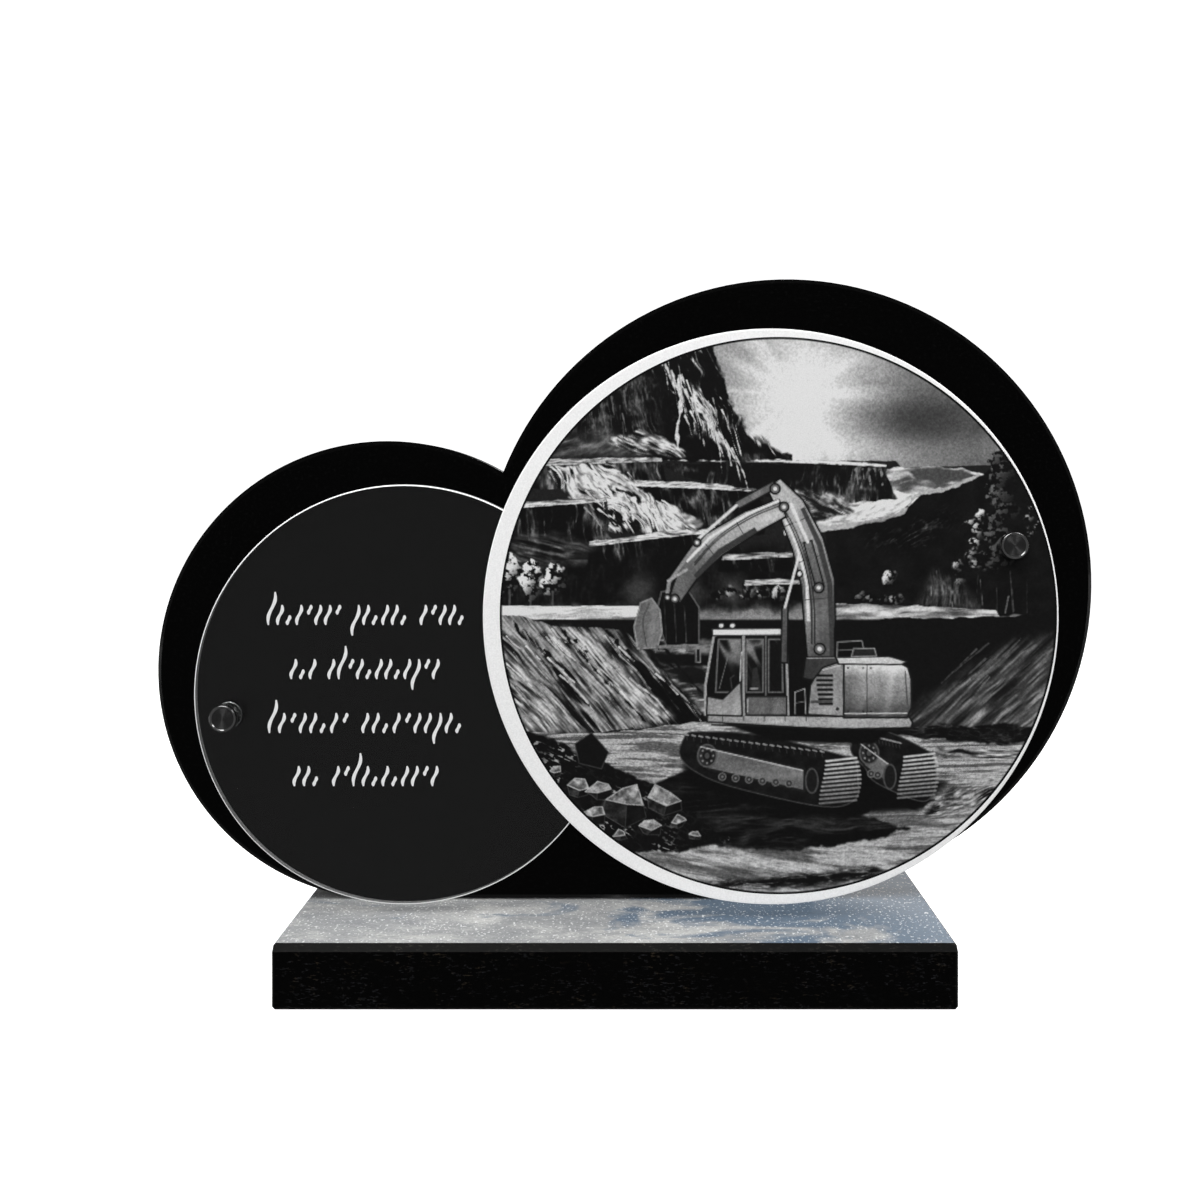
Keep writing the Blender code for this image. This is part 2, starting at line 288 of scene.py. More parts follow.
def base_material():
    """Near-black granite with fine brownish dashes, a chamfer painted lighter as a sheen, and a pale top
    carrying a painted reflection of a cloudy sky, full of painted glints.
    """
    n = Nodes("base_granite")
    # Dark stone: short level dashes of mica, in loose patches
    mica = n.noise(n.coordinates((0.4, 1.0, 1.2)), 1100.0, detail=2.0, roughness=0.6)
    dashes = n.ramp(mica, [(0.58, 0.0), (0.72, 1.0)])
    patches = n.ramp(n.noise(n.coordinates(), 75.0, detail=2.0), [(0.40, 0.15), (0.62, 1.0)])
    dashes = n.mix(1.0, dashes, patches, "MULTIPLY")
    patchy = n.noise(n.coordinates(), 210.0, detail=1.0)
    tint = n.ramp(patchy, [(0.50, (0.015, 0.0155, 0.017)), (0.66, (0.023, 0.018, 0.012))])
    dark = n.mix(dashes, (0.0006, 0.0006, 0.0006), tint)
    # Pale top: a painted reflection of a cloudy sky, with grey cloud in a soft fleece, blue-grey hollows
    # towards the right, and white flecks that are painted glints
    reflected_cloud_noise = n.noise(n.coordinates((1.0, 1.7, 1.0)), 26.0, detail=8.0, roughness=0.68, distortion=0.5)
    greys = [(0.30, (0.20, 0.21, 0.22)), (0.48, (0.31, 0.315, 0.315)), (0.66, (0.50, 0.50, 0.485))]
    cloud = n.ramp(reflected_cloud_noise, greys)
    place = n.node("ShaderNodeSeparateXYZ")
    n.wire(n.coordinates(), place.inputs["Vector"])
    rightward = n.maths("MULTIPLY", place.outputs["X"], 0.85)
    outward = n.maths("MULTIPLY", n.maths("ABSOLUTE", place.outputs["Y"]), -1.9)
    hollows = n.noise(n.coordinates((1.0, 2.0, 1.0)), 17.0, detail=6.0, roughness=0.6, distortion=0.6)
    hollows = n.maths("ADD", hollows, n.maths("ADD", rightward, outward))
    sky = n.mix(n.ramp(hollows, [(0.46, 0.0), (0.54, 0.92)]), cloud, (0.085, 0.130, 0.185))
    grit = n.noise(n.coordinates((0.7, 1.2, 1.0)), 700.0, detail=2.0, roughness=0.7)
    sky_reflection_with_grit = n.mix(n.ramp(grit, [(0.36, 0.34), (0.56, 0.0)]), sky, (0.10, 0.10, 0.105))
    painted_glints = n.ramp(n.noise(n.coordinates((1.0, 0.6, 1.0)), 850.0, detail=1.0), [(0.62, 0.0), (0.70, 0.60)])
    pale = n.mix(painted_glints, sky_reflection_with_grit, (0.85, 0.86, 0.86))

    # The top faces straight up and takes the painted sky reflection, and the chamfer and the arrises face
    # partly up and take a lighter colour that is a painted sheen
    face = n.node("ShaderNodeNewGeometry")
    parts = n.node("ShaderNodeSeparateXYZ")
    n.wire(face.outputs["Normal"], parts.inputs["Vector"])
    top = n.maths("GREATER_THAN", parts.outputs["Z"], 0.92)
    chamfer = n.maths("GREATER_THAN", parts.outputs["Z"], 0.35)
    # The chamfer's colour, lighter than the dark stone, is a painted sheen
    rim = n.mix(dashes, (0.0030, 0.0030, 0.0028), (0.030, 0.027, 0.023))
    sides = n.mix(chamfer, dark, rim)
    n.feed("Base Color", n.mix(top, sides, pale))
    n.feed("Roughness", n.mix(chamfer, (0.22,) * 3, (0.50,) * 3))
    n.set(Specular_IOR_Level=0.12)
    n.bump(grit, 0.04, 0.0002)
    return n.material


def plate_material():
    """Polished black stone with a trace of grain below the gloss."""
    n = Nodes("plate_black")
    grain = n.ramp(n.noise(n.coordinates(), 700.0, detail=2.0), [(0.55, 0.0), (0.80, 1.0)])
    n.feed("Base Color", n.mix(grain, (0.0004, 0.0004, 0.0004), (0.0028, 0.0028, 0.0028)))
    worn = n.noise(n.coordinates(), 14.0, detail=3.0)
    n.feed("Roughness", n.ramp(worn, [(0.3, 0.12), (0.7, 0.18)]))
    n.set(Specular_IOR_Level=0.12)
    return n.material


def glass_material():
    """Clear polished glass, see-through by the shader's own values."""
    n = Nodes("clear_glass")
    n.set(
        Base_Color=(0.97, 0.985, 0.98, 1.0),
        Roughness=0.0,
        Transmission_Weight=1.0,
        IOR=1.5,
        Specular_IOR_Level=0.15,
    )
    ripple = n.noise(n.coordinates(), 40.0, detail=3.0)
    n.bump(ripple, 0.004, 0.0005)
    return n.material


def frost_material(name, tone):
    """Sand-blasted glass: white, matt and finely grained."""
    n = Nodes(name)
    grain = n.noise(n.coordinates(), FROST_GRAIN, detail=3.0, roughness=0.7)
    n.feed("Base Color", n.ramp(grain, [(0.35, tone * 0.93), (0.65, min(1.0, tone * 1.06))]))
    n.set(Roughness=0.75, Specular_IOR_Level=0.25)
    n.bump(grain, 0.12, 0.0001)
    return n.material


def ground_edge_material():
    """The ground and half-polished side of a glass disc, a mid grey."""
    n = Nodes("ground_edge")
    grain = n.noise(n.coordinates((1.0, 0.3, 1.0)), 900.0, detail=3.0)
    n.feed("Base Color", n.ramp(grain, [(0.35, 0.07), (0.65, 0.11)]))
    n.set(Roughness=0.4)
    return n.material


def metal_material(name, centre=None):
    """Dark chrome. A face that was turned has fine rings about its own centre."""
    n = Nodes(name)
    n.set(Metallic=1.0)
    tone = n.noise(n.coordinates(), 300.0, detail=2.0)
    if centre is None:
        n.feed("Base Color", n.ramp(tone, [(0.3, 0.34), (0.7, 0.42)]))
        n.feed("Roughness", n.ramp(tone, [(0.3, 0.14), (0.7, 0.22)]))
        return n.material
    n.feed("Base Color", n.ramp(tone, [(0.3, 0.13), (0.7, 0.17)]))
    place = n.node("ShaderNodeTexCoord")
    from_centre = n.node("ShaderNodeVectorMath", operation="SUBTRACT")
    n.wire(place.outputs["Object"], from_centre.inputs[0])
    from_centre.inputs[1].default_value = centre
    reach = n.node("ShaderNodeVectorMath", operation="LENGTH")
    n.wire(from_centre.outputs["Vector"], reach.inputs[0])
    rings = n.maths("SINE", n.maths("MULTIPLY", reach.outputs["Value"], 2 * math.pi / RING_PITCH))
    n.feed("Roughness", n.ramp(tone, [(0.3, 0.40), (0.7, 0.46)]))
    n.set(Anisotropic=0.90, Anisotropic_Rotation=0.25)
    around = n.node("ShaderNodeTangent", direction_type="RADIAL", axis="Y")
    n.feed("Tangent", around.outputs["Tangent"])
    n.bump(rings, 0.12, 0.00002)
    return n.material


def ring_points(centre, radius, y, count):
    """Points on an upright circle that faces the front."""
    angles = [2 * math.pi * i / count for i in range(count)]
    return [(centre.x + radius * math.cos(a), y, centre.z + radius * math.sin(a)) for a in angles]


def mesh_from(bm, name, sharp_angle):
    """A finished mesh with its faces pointing out and its edges sharp above an angle in degrees."""
    bmesh.ops.recalc_face_normals(bm, faces=bm.faces)
    mesh = bpy.data.meshes.new(name)
    bm.to_mesh(mesh)
    bm.free()
    mesh.set_sharp_from_angle(angle=math.radians(sharp_angle))
    return mesh


def make_glass(name, node, centre, radius, hole, finishes):
    """A glass disc with a drilled hole. Its finishes are its faces', its front arris's and its side's."""
    low, high = corners_of(node)
    bm = bmesh.new()
    arc = GLASS_ARRIS * (1 - math.cos(math.pi / 4))
    outer = [
        (radius - GLASS_ARRIS, low.y),
        (radius - arc, low.y + arc),
        (radius, low.y + GLASS_ARRIS),
        (radius, high.y - GLASS_ARRIS),
        (radius - arc, high.y - arc),
        (radius - GLASS_ARRIS, high.y),
    ]
    inner = [(HOLE_RADIUS, low.y), (HOLE_RADIUS, high.y)]

    def loops(rings, about, count):
        made = []
        for reach, y in rings:
            made.append([bm.verts.new(p) for p in ring_points(about, reach, y, count)])
        return made

    def skin(rings, count, slots):
        for (first, second), slot in zip(zip(rings, rings[1:]), slots):
            for i in range(count):
                j = (i + 1) % count
                face = bm.faces.new((first[i], first[j], second[j], second[i]))
                face.material_index = slot
                face.smooth = True

    outside = loops(outer, centre, DISC_SEGMENTS)
    inside = loops(inner, hole, HOLE_SEGMENTS)
    skin(outside, DISC_SEGMENTS, (1, 1, 2, 2, 2))
    skin(inside, HOLE_SEGMENTS, (2,))
    for side in (0, -1):
        rims = []
        for ring in (outside[side], inside[side]):
            rims += [bm.edges.get(pair) for pair in zip(ring, ring[1:] + ring[:1])]
        bmesh.ops.triangle_fill(bm, use_beauty=True, edges=rims)
    mesh = mesh_from(bm, name, 30)
    for material in finishes:
        mesh.materials.append(material)
    disc = add_piece(name, mesh, (node,))
    # Light passes through clear glass, so it throws no full shadow.
    disc.visible_shadow = False


def close_layer(mesh, front_y, back_y):
    """Gives an open sheet that faces the front its edges and a back, so that it is a closed thin layer."""
    bm = bmesh.new()
    bm.from_mesh(mesh)
    rim = [edge for edge in bm.edges if edge.is_boundary]
    made = bmesh.ops.extrude_edge_only(bm, edges=rim)["geom"]
    for vertex in made:
        if isinstance(vertex, bmesh.types.BMVert):
            vertex.co.y += back_y - front_y
    back_rim = [edge for edge in made if isinstance(edge, bmesh.types.BMEdge) and edge.is_boundary]
    bmesh.ops.triangle_fill(bm, use_beauty=False, edges=back_rim)
    bmesh.ops.recalc_face_normals(bm, faces=bm.faces)
    bm.to_mesh(mesh)
    bm.free()
    return mesh


def ease(low, high, value):
    """0 below low, 1 above high and smooth between. Low may be the larger one."""
    t = np.clip((value - low) / (high - low), 0.0, 1.0)
    return t * t * (3.0 - 2.0 * t)


def lattice(i, j, seed):
    """A fixed value from 0 to 1 for each cell corner."""
    h = (i.astype(np.int64) * 374761393 + j.astype(np.int64) * 668265263 + seed * 974634777) & 0xFFFFFFFF
    h = ((h ^ (h >> 13)) * 1274126177) & 0xFFFFFFFF
    return ((h ^ (h >> 16)) & 0xFFFF) / 65535.0


def noise(x, y, seed):
    """Smooth noise from 0 to 1 with cells one unit wide."""
    i, j = np.floor(x), np.floor(y)
    a, b = x - i, y - j
    a, b = a * a * (3 - 2 * a), b * b * (3 - 2 * b)
    low = lattice(i, j, seed) * (1 - a) + lattice(i + 1, j, seed) * a
    high = lattice(i, j + 1, seed) * (1 - a) + lattice(i + 1, j + 1, seed) * a
    return low * (1 - b) + high * b


def layered(x, y, seed, octaves=4):
    """Several octaves of noise, still about 0 to 1."""
    total, weight, size = 0.0, 0.0, 1.0
    for k in range(octaves):
        total = total + noise(x / size, y / size, seed + 17 * k) * size
        weight += size
        size *= 0.5
    return total / weight


def ridged(x, y, seed, octaves=3):
    """Noise with sharp bright crests, 0 to 1."""
    total, weight, size = 0.0, 0.0, 1.0
    for k in range(octaves):
        crest = 1.0 - np.abs(2.0 * noise(x / size, y / size, seed + 29 * k) - 1.0)
        total = total + crest * size
        weight += size
        size *= 0.55
    return total / weight


def turned_to(u, v, degrees):
    """Coordinates along and across a direction."""
    a = math.radians(degrees)
    return u * math.cos(a) + v * math.sin(a), -u * math.sin(a) + v * math.cos(a)


def outline_distance(u, v, points):
    """Distance to a closed outline, negative inside it."""
    nearest = np.full(u.shape, 1e9)
    inside = np.zeros(u.shape, bool)
    for (x1, y1), (x2, y2) in zip(points, points[1:] + points[:1]):
        ex, ey = x2 - x1, y2 - y1
        t = np.clip(((u - x1) * ex + (v - y1) * ey) / max(ex * ex + ey * ey, 1e-12), 0.0, 1.0)
        nearest = np.minimum(nearest, np.hypot(u - x1 - t * ex, v - y1 - t * ey))
        if ey:
            inside ^= ((y1 <= v) != (y2 <= v)) & (u < x1 + (v - y1) * ex / ey)
    return np.where(inside, -nearest, nearest)


def curve_through(points, steps=8):
    """A smooth open curve through its points."""
    p = [np.array(q, float) for q in points]
    p = [2 * p[0] - p[1]] + p + [2 * p[-1] - p[-2]]
    made = []
    for a, b, c, d in zip(p, p[1:], p[2:], p[3:]):
        for k in range(steps):
            t = k / steps
            square = (2 * a - 5 * b + 4 * c - d) * t**2
            cube = (3 * b - a - 3 * c + d) * t**3
            made.append(0.5 * (2 * b + (c - a) * t + square + cube))
    made.append(p[-2])
    return [tuple(q) for q in made]


class Picture:
    """A grey picture on scattered points. U runs right and V up, and the picture's rim is at 1."""

    def __init__(self, u, v):
        self.u, self.v = u, v
        self.tone = np.full(u.shape, DARK)

    def near(self, points, margin):
        us, vs = zip(*points)
        return np.nonzero(
            (self.u > min(us) - margin)
            & (self.u < max(us) + margin)
            & (self.v > min(vs) - margin)
            & (self.v < max(vs) + margin)
        )[0]

    def lay(self, where, cover, tone):
        self.tone[where] = self.tone[where] * (1 - cover) + tone * cover

    def fill(self, points, tone, soft=EDGE, rough=0.0, seed=1, line=None, line_width=0.004):
        """Fills an outline with a tone or a function of U and V. Rough frays its edge."""
        where = self.near(points, soft + rough + line_width + 0.01)
        u, v = self.u[where], self.v[where]
        d = outline_distance(u, v, points)
        if rough:
            d = d + (layered(u * 26, v * 26, seed, 4) - 0.5) * 2 * rough
        shade = tone(u, v) if callable(tone) else tone
        self.lay(where, ease(soft, -soft, d), shade)
        if line is not None:
            self.lay(where, ease(line_width + soft, line_width - soft, np.abs(d)), line)

    def stroke(self, points, width, tone, soft=EDGE, fray=0.0, seed=3):
        """A line of a width, or of a width from start to end, along its points."""
        first, last = width if isinstance(width, tuple) else (width, width)
        where = self.near(points, max(first, last) + soft + fray + 0.01)
        u, v = self.u[where], self.v[where]
        lengths = [math.dist(a, b) for a, b in zip(points, points[1:])]
        whole, passed = sum(lengths), 0.0
        cover = np.zeros(u.shape)
        for (x1, y1), (x2, y2), length in zip(points, points[1:], lengths):
            ex, ey = x2 - x1, y2 - y1
            t = np.clip(((u - x1) * ex + (v - y1) * ey) / (length * length), 0.0, 1.0)
            half = (first + (last - first) * (passed + t * length) / whole) / 2
            d = np.hypot(u - x1 - t * ex, v - y1 - t * ey) - half
            if fray:
                d = d + (layered(u * 45, v * 45, seed, 3) - 0.5) * 2 * fray
            cover = np.maximum(cover, ease(soft, -soft, d))
            passed += length
        self.lay(where, cover, tone)

    def band(self, points, widths, tone, line=None, line_width=0.004):
        """A beam along its centre line, with a width at each point."""
        left, right = [], []
        for k, (x, y) in enumerate(points):
            ax, ay = points[max(k - 1, 0)]
            bx, by = points[min(k + 1, len(points) - 1)]
            length = math.hypot(bx - ax, by - ay)
            nx, ny = -(by - ay) / length, (bx - ax) / length
            left.append((x + nx * widths[k] / 2, y + ny * widths[k] / 2))
            right.append((x - nx * widths[k] / 2, y - ny * widths[k] / 2))
        self.fill(left + right[::-1], tone, line=line, line_width=line_width)


def ellipse(centre, width, height, count=20):
    """An outline with half its width and half its height."""
    return [
        (
            centre[0] + width * math.cos(2 * math.pi * k / count),
            centre[1] + height * math.sin(2 * math.pi * k / count),
        )
        for k in range(count)
    ]


def stone(base, spread, size, seed):
    """A tone that varies like rough stone."""
    return lambda u, v: base + spread * (layered(u * size, v * size, seed) - 0.5) * 2


def streaks(angle, size, stretch, seed, low, high, sharp=(0.45, 0.65), bend=0.05):
    """Light and dark veins along an angle, with finer lines inside them."""

    def shade(u, v):
        along, across = turned_to(u, v, angle)
        across = across + bend * (layered(along * 6, across * 6, seed + 5, 3) - 0.5)
        broad = layered(along * size / stretch * 0.6, across * size * 0.6, seed, 3)
        fine = ridged(along * size * 2.7 / stretch, across * size * 2.7, seed + 3, 4)
        hair = noise(along * size * 9 / stretch, across * size * 9, seed + 9)
        veins = ease(sharp[0], sharp[1], 0.5 * broad + 0.5 * fine)
        return low + (high - low) * veins * (0.35 + 0.90 * hair)

    return shade


def creases(p, count, across, down, angle, reach, tones, seed, lean=0.0):
    """Thin bright lines along an angle, from places spread across and down a slope that leans."""
    for k in range(count):
        a, b, c, d = (float(lattice(np.array([k]), np.array([n]), seed)[0]) for n in range(4))
        y = down[0] + (down[1] - down[0]) * b
        x = across[0] + (across[1] - across[0] + lean * (down[0] - y)) * a
        turn = math.radians(angle + 16 * (c - 0.5))
        run = reach * (0.35 + 0.65 * d)
        dx, dy = run * math.cos(turn), run * math.sin(turn)
        kink = 0.10 * run * (b - 0.5)
        tone = tones[0] + (tones[1] - tones[0]) * c
        line = [(x, y), (x + 0.5 * dx + kink, y + 0.5 * dy + kink), (x + dx, y + dy)]
        p.stroke(line, (0.0055, 0.0015), tone, soft=0.0018, fray=0.0035, seed=seed + k)


def paint_sky(p):
    """A glow with faint rays, and duller sky away from it."""
    u, v = p.u, p.v
    reach = np.hypot(u - SUN[0], v - SUN[1])
    angle = np.arctan2(v - SUN[1], u - SUN[0])
    rays = ease(0.3, 0.95, noise(angle * 6 + 40, reach * 1.5, 12)) * ease(0.05, 0.22, reach)
    glow = 0.3 * np.exp(-((reach / 0.17) ** 2)) + 0.18 * np.exp(-((reach / 0.36) ** 2))
    cloud = layered(u * 4, v * 9, 5, 5) - 0.5
    gloom = 0.2 * np.exp(-(((u - 0.5) / 0.22) ** 2) - ((v - 0.68) / 0.15) ** 2)
    haze = 0.22 * np.exp(-(((v - 0.58) / 0.08) ** 2) - ((u - 0.25) / 0.5) ** 2)
    p.tone[:] = 0.43 + glow + 0.24 * rays * np.exp(-(reach / 0.26)) + 0.2 * cloud - gloom + haze


def paint_far_land(p):
    """A level mesa, a pale plain and low bluffs below the glow."""
    p.fill(
        [(-1.1, 0.555), (0.42, 0.555), (0.44, 0.53), (1.1, 0.55), (1.1, 0.2), (-1.1, 0.2)], 0.12,
        rough=0.004,
    )
    plain = [(0.2, 0.53), (0.66, 0.53), (0.78, 0.49), (0.62, 0.4), (0.36, 0.32), (0.02, 0.29), (0.05, 0.42)]
    p.fill(plain, streaks(3, 12, 4, 21, 0.3, 0.86, (0.3, 0.62)), rough=0.01)
    p.fill(
        [(0.42, 0.45), (0.6, 0.4), (0.5, 0.36), (0.24, 0.345), (0.3, 0.4)],
        streaks(25, 16, 4, 23, 0.35, 0.95, (0.3, 0.6)), rough=0.01,
    )
    mesa = [
        (-0.44, 0.548), (0.2, 0.545), (0.385, 0.535), (0.4, 0.475), (0.425, 0.42), (0.33, 0.41),
        (0.16, 0.4), (-0.1, 0.43), (-0.34, 0.5),
    ]
    p.fill(mesa, streaks(84, 17, 3, 31, 0.05, 0.5, (0.52, 0.8)), rough=0.008, seed=4)
    p.fill(
        [(0.06, 0.46), (0.2, 0.44), (0.27, 0.37), (0.1, 0.33), (0.02, 0.36)],
        streaks(-30, 20, 3, 35, 0.1, 0.62, (0.5, 0.74)), soft=0.01, rough=0.02,
    )
    for k in range(5):
        x = 0.28 + 0.022 * k
        p.stroke(
            [(x, 0.525), (x + 0.006, 0.47 + 0.02 * (k % 2))], (0.007, 0.002), 0.46, fray=0.007,
            seed=40 + k,
        )
    p.stroke(
        curve_through([(-0.86, 0.565), (-0.5, 0.562), (-0.1, 0.556), (0.2, 0.549), (0.385, 0.538)]),
        0.01, 0.8, fray=0.004, seed=44,
    )
    p.fill(
        [(0.46, 0.522), (0.56, 0.53), (0.66, 0.522), (0.72, 0.5), (0.6, 0.478), (0.5, 0.485)], 0.3,
        soft=0.006, rough=0.006,
    )


def paint_cliff(p):
    """A dark crag on the left with bright fissures down its shoulder."""
    crag = [
        (-1.1, 1.1), (-0.26, 1.1), (-0.235, 0.94), (-0.2, 0.84), (-0.165, 0.75), (-0.115, 0.65),
        (-0.03, 0.595), (0.05, 0.575), (0.05, 0.555), (-1.1, 0.555),
    ]
    p.fill(crag, streaks(-74, 22, 4, 39, 0.035, 0.3, (0.55, 0.8)), soft=0.004, rough=0.014, seed=2)
    shoulder = [
        (-0.44, 1.0), (-0.26, 1.0), (-0.2, 0.84), (-0.165, 0.75), (-0.115, 0.65), (0.04, 0.575),
        (-0.14, 0.575), (-0.26, 0.63), (-0.36, 0.72), (-0.44, 0.88),
    ]
    p.fill(shoulder, streaks(-70, 20, 5, 41, 0.04, 0.88, (0.5, 0.66), 0.1), soft=0.015, rough=0.03, seed=6)
    cheek = [(-0.8, 0.8), (-0.55, 0.93), (-0.42, 0.8), (-0.44, 0.66), (-0.5, 0.6), (-0.84, 0.6)]
    p.fill(cheek, streaks(-82, 26, 3, 47, 0.04, 0.34, (0.54, 0.78)), soft=0.05, rough=0.02)
    p.fill(
        [(-0.95, 0.645), (-0.62, 0.66), (-0.46, 0.585), (-0.5, 0.57), (-0.95, 0.567)],
        streaks(14, 12, 3, 51, 0.1, 0.42, (0.3, 0.62)), soft=0.03,
    )
    spur = [(-0.62, 0.625), (-0.5, 0.665), (-0.42, 0.64), (-0.34, 0.595), (-0.3, 0.572), (-0.5, 0.575)]
    p.fill(spur, streaks(-26, 22, 4, 53, 0.06, 0.75, (0.45, 0.68)), soft=0.008, rough=0.012)
    for k in range(12):
        x = -0.43 + 0.024 * k
        y = 0.93 - 0.03 * k
        tip = (x + 0.035 + 0.01 * (k % 4), y - 0.12 - 0.03 * (k % 3))
        p.stroke(
            [(x, y), ((x + tip[0]) / 2 + 0.01, (y + tip[1]) / 2), tip], (0.008, 0.002), 0.7, fray=0.005,
            seed=60 + k,
        )
    p.stroke(
        [(-0.355, 0.86), (-0.35, 0.74), (-0.365, 0.66), (-0.36, 0.6)], (0.016, 0.006), 0.72, fray=0.008,
        seed=75,
    )
    creases(p, 16, (-0.42, -0.3), (0.94, 0.7), -74, 0.15, (0.45, 0.82), 611, 0.5)
    creases(p, 14, (-0.8, -0.48), (0.84, 0.66), -84, 0.1, (0.18, 0.42), 617)


def bench(p, left, right, level, drop, seed, slant=0.0, bright=0.78):
    """One quarry step: a pale ledge above a dark face with falling streaks."""
    middle = (left + right) / 2
    face = [
        (left, level), (right, level + slant), (right + 0.02, level + slant - drop),
        (left - 0.02, level - drop),
    ]
    p.fill(face, streaks(-80, 18, 4, seed, 0.03, 0.46, (0.56, 0.8), 0.05), rough=0.01, seed=seed)
    ledge = [(left, level + 0.002), (middle, level + slant / 2 + 0.009), (right, level + slant)]
    lip = [(right, level + slant - 0.009), (middle, level + slant / 2 - 0.011), (left, level - 0.015)]
    p.fill(ledge + lip, streaks(2, 26, 6, seed + 1, 0.16, bright, (0.3, 0.6)), rough=0.007, seed=seed)
    p.stroke(curve_through(lip), 0.0035, bright, fray=0.004, seed=seed + 2)


def paint_terraces(p):
    """The quarry's left wall: dark faces between pale ledges, and falls of rubble."""
    bench(p, -1.05, -0.42, 0.545, 0.1, 101, 0.02, 0.66)
    bench(p, -0.56, -0.06, 0.485, 0.17, 105, -0.03)
    falls = [
        (-0.84, 0.54), (-0.6, 0.545), (-0.52, 0.49), (-0.43, 0.41), (-0.26, 0.325), (-0.2, 0.3),
        (-0.42, 0.29), (-0.62, 0.3), (-0.74, 0.4),
    ]
    p.fill(falls, streaks(-42, 20, 4, 111, 0.05, 0.88, (0.47, 0.62), 0.14), soft=0.008, rough=0.022, seed=9)
    bench(p, -0.95, -0.62, 0.4, 0.15, 115, 0.02)
    for k in range(9):
        x = -0.66 + 0.035 * k
        p.stroke(
            [(x, 0.5 - 0.02 * k), (x + 0.03, 0.44 - 0.02 * k), (x + 0.035, 0.36 - 0.008 * k)],
            (0.01, 0.003), 0.8, fray=0.008, seed=90 + k,
        )
    creases(p, 30, (-0.78, -0.52), (0.525, 0.36), -44, 0.12, (0.5, 0.88), 621, 1.1)
    bench(p, -0.68, -0.14, 0.265, 0.18, 121, 0.055, 0.84)
    p.fill(
        [(-1.1, 0.27), (-0.8, 0.29), (-0.66, 0.25), (-0.8, 0.18), (-1.1, 0.1)],
        streaks(-14, 14, 4, 127, 0.04, 0.4, (0.5, 0.76)), soft=0.02, rough=0.02,
    )
    p.fill(
        [(-1.1, 0.14), (-0.7, 0.2), (-0.1, 0.25), (0.3, 0.25), (0.3, 0.03), (-1.1, 0.02)],
        streaks(84, 16, 2, 131, 0.03, 0.12, (0.5, 0.8)), soft=0.03, rough=0.03,
    )
    for k in range(3):
        mist = (-0.5 + 0.17 * k, 0.085)
        p.fill(
            ellipse(mist, 0.045, 0.05), stone(0.24, 0.1, 30, 141 + k), soft=0.045, rough=0.02,
            seed=143 + k,
        )
    bench(p, -0.2, 0.16, 0.215, 0.06, 135, 0.01, 0.72)
    bench(p, -0.12, 0.12, 0.125, 0.07, 139, 0.0, 0.72)


def foliage(p, x, y, width, height, seed, bright=0.62):
    """A clump of lit leaves, brighter at its upper left."""
    ring = [
        (x + width / 2 * math.cos(a) * (1 + 0.18 * math.sin(5 * a + seed)), y + height / 2 * math.sin(a))
        for a in [2 * math.pi * k / 18 for k in range(18)]
    ]

    def shade(u, v):
        leaf = layered(u * 75, v * 75, seed, 4)
        lit = ease(width * 0.9, -width * 0.9, (u - x) - 0.8 * (v - y))
        return 0.04 + bright * ease(0.42, 0.6, leaf) * (0.2 + 0.95 * lit)

    p.fill(ring, shade, soft=0.005, rough=0.026, seed=seed)


def paint_right_hill(p):
    """A dark wooded hill that climbs to the right rim."""
    hill = [
        (0.17, 0.305), (0.3, 0.325), (0.44, 0.36), (0.5, 0.43), (0.62, 0.455), (0.74, 0.51),
        (0.84, 0.6), (1.1, 0.62),
    ]
    p.fill(hill + [(1.1, 0.0), (0.17, 0.0)], stone(0.055, 0.035, 26, 151), soft=0.004, rough=0.012, seed=14)
    crest = curve_through(
        [(0.16, 0.312), (0.3, 0.332), (0.44, 0.367), (0.5, 0.432), (0.62, 0.46), (0.74, 0.513)]
    )
    p.stroke(crest, (0.018, 0.007), 0.62, fray=0.009, seed=15)
    p.fill(
        [(0.3, 0.31), (0.44, 0.34), (0.6, 0.4), (0.66, 0.34), (0.48, 0.22), (0.32, 0.24)],
        streaks(35, 26, 3, 153, 0.035, 0.34, (0.6, 0.84)), soft=0.04,
    )
    for k in range(9):
        y = 0.56 - 0.045 * k
        foliage(p, 0.79 + 0.02 * math.sin(2.1 * k), y, 0.07 + 0.008 * k, 0.06, 160 + 3 * k, 0.34)
    poplars = [
        (0.64, 0.15, 0.06, 0.08), (0.7, 0.22, 0.07, 0.1), (0.71, 0.32, 0.05, 0.08), (0.92, 0.34, 0.07, 0.12),
    ]
    for k, (x, y, w, h) in enumerate(poplars):
        for part in range(4):
            lean = 0.018 * math.sin(2.3 * part + k)
            level = y + h * (0.42 - 0.26 * part)
            seed = 190 + 3 * k + 31 * part
            foliage(p, x + lean, level, w * 0.52, h * 0.36, seed, 0.72 - 0.07 * part)
    foliage(p, 0.4, 0.135, 0.035, 0.035, 205, 0.7)
    p.fill(
        [(0.5, 0.03), (0.56, 0.16), (0.64, 0.12), (0.72, 0.03)],
        streaks(90, 20, 3, 181, 0.06, 0.42, (0.34, 0.7)), soft=0.03,
    )
    for k in range(11):
        x = 0.52 + 0.036 * k + 0.006 * ((k * 5) % 3)
        height = 0.07 + 0.03 * ((k * 7) % 4)
        p.stroke(
            [(x, 0.01), (x + 0.012 * ((k % 3) - 1), height)], (0.004, 0.0015),
            0.2 + 0.05 * ((k * 3) % 5), fray=0.004,
        )


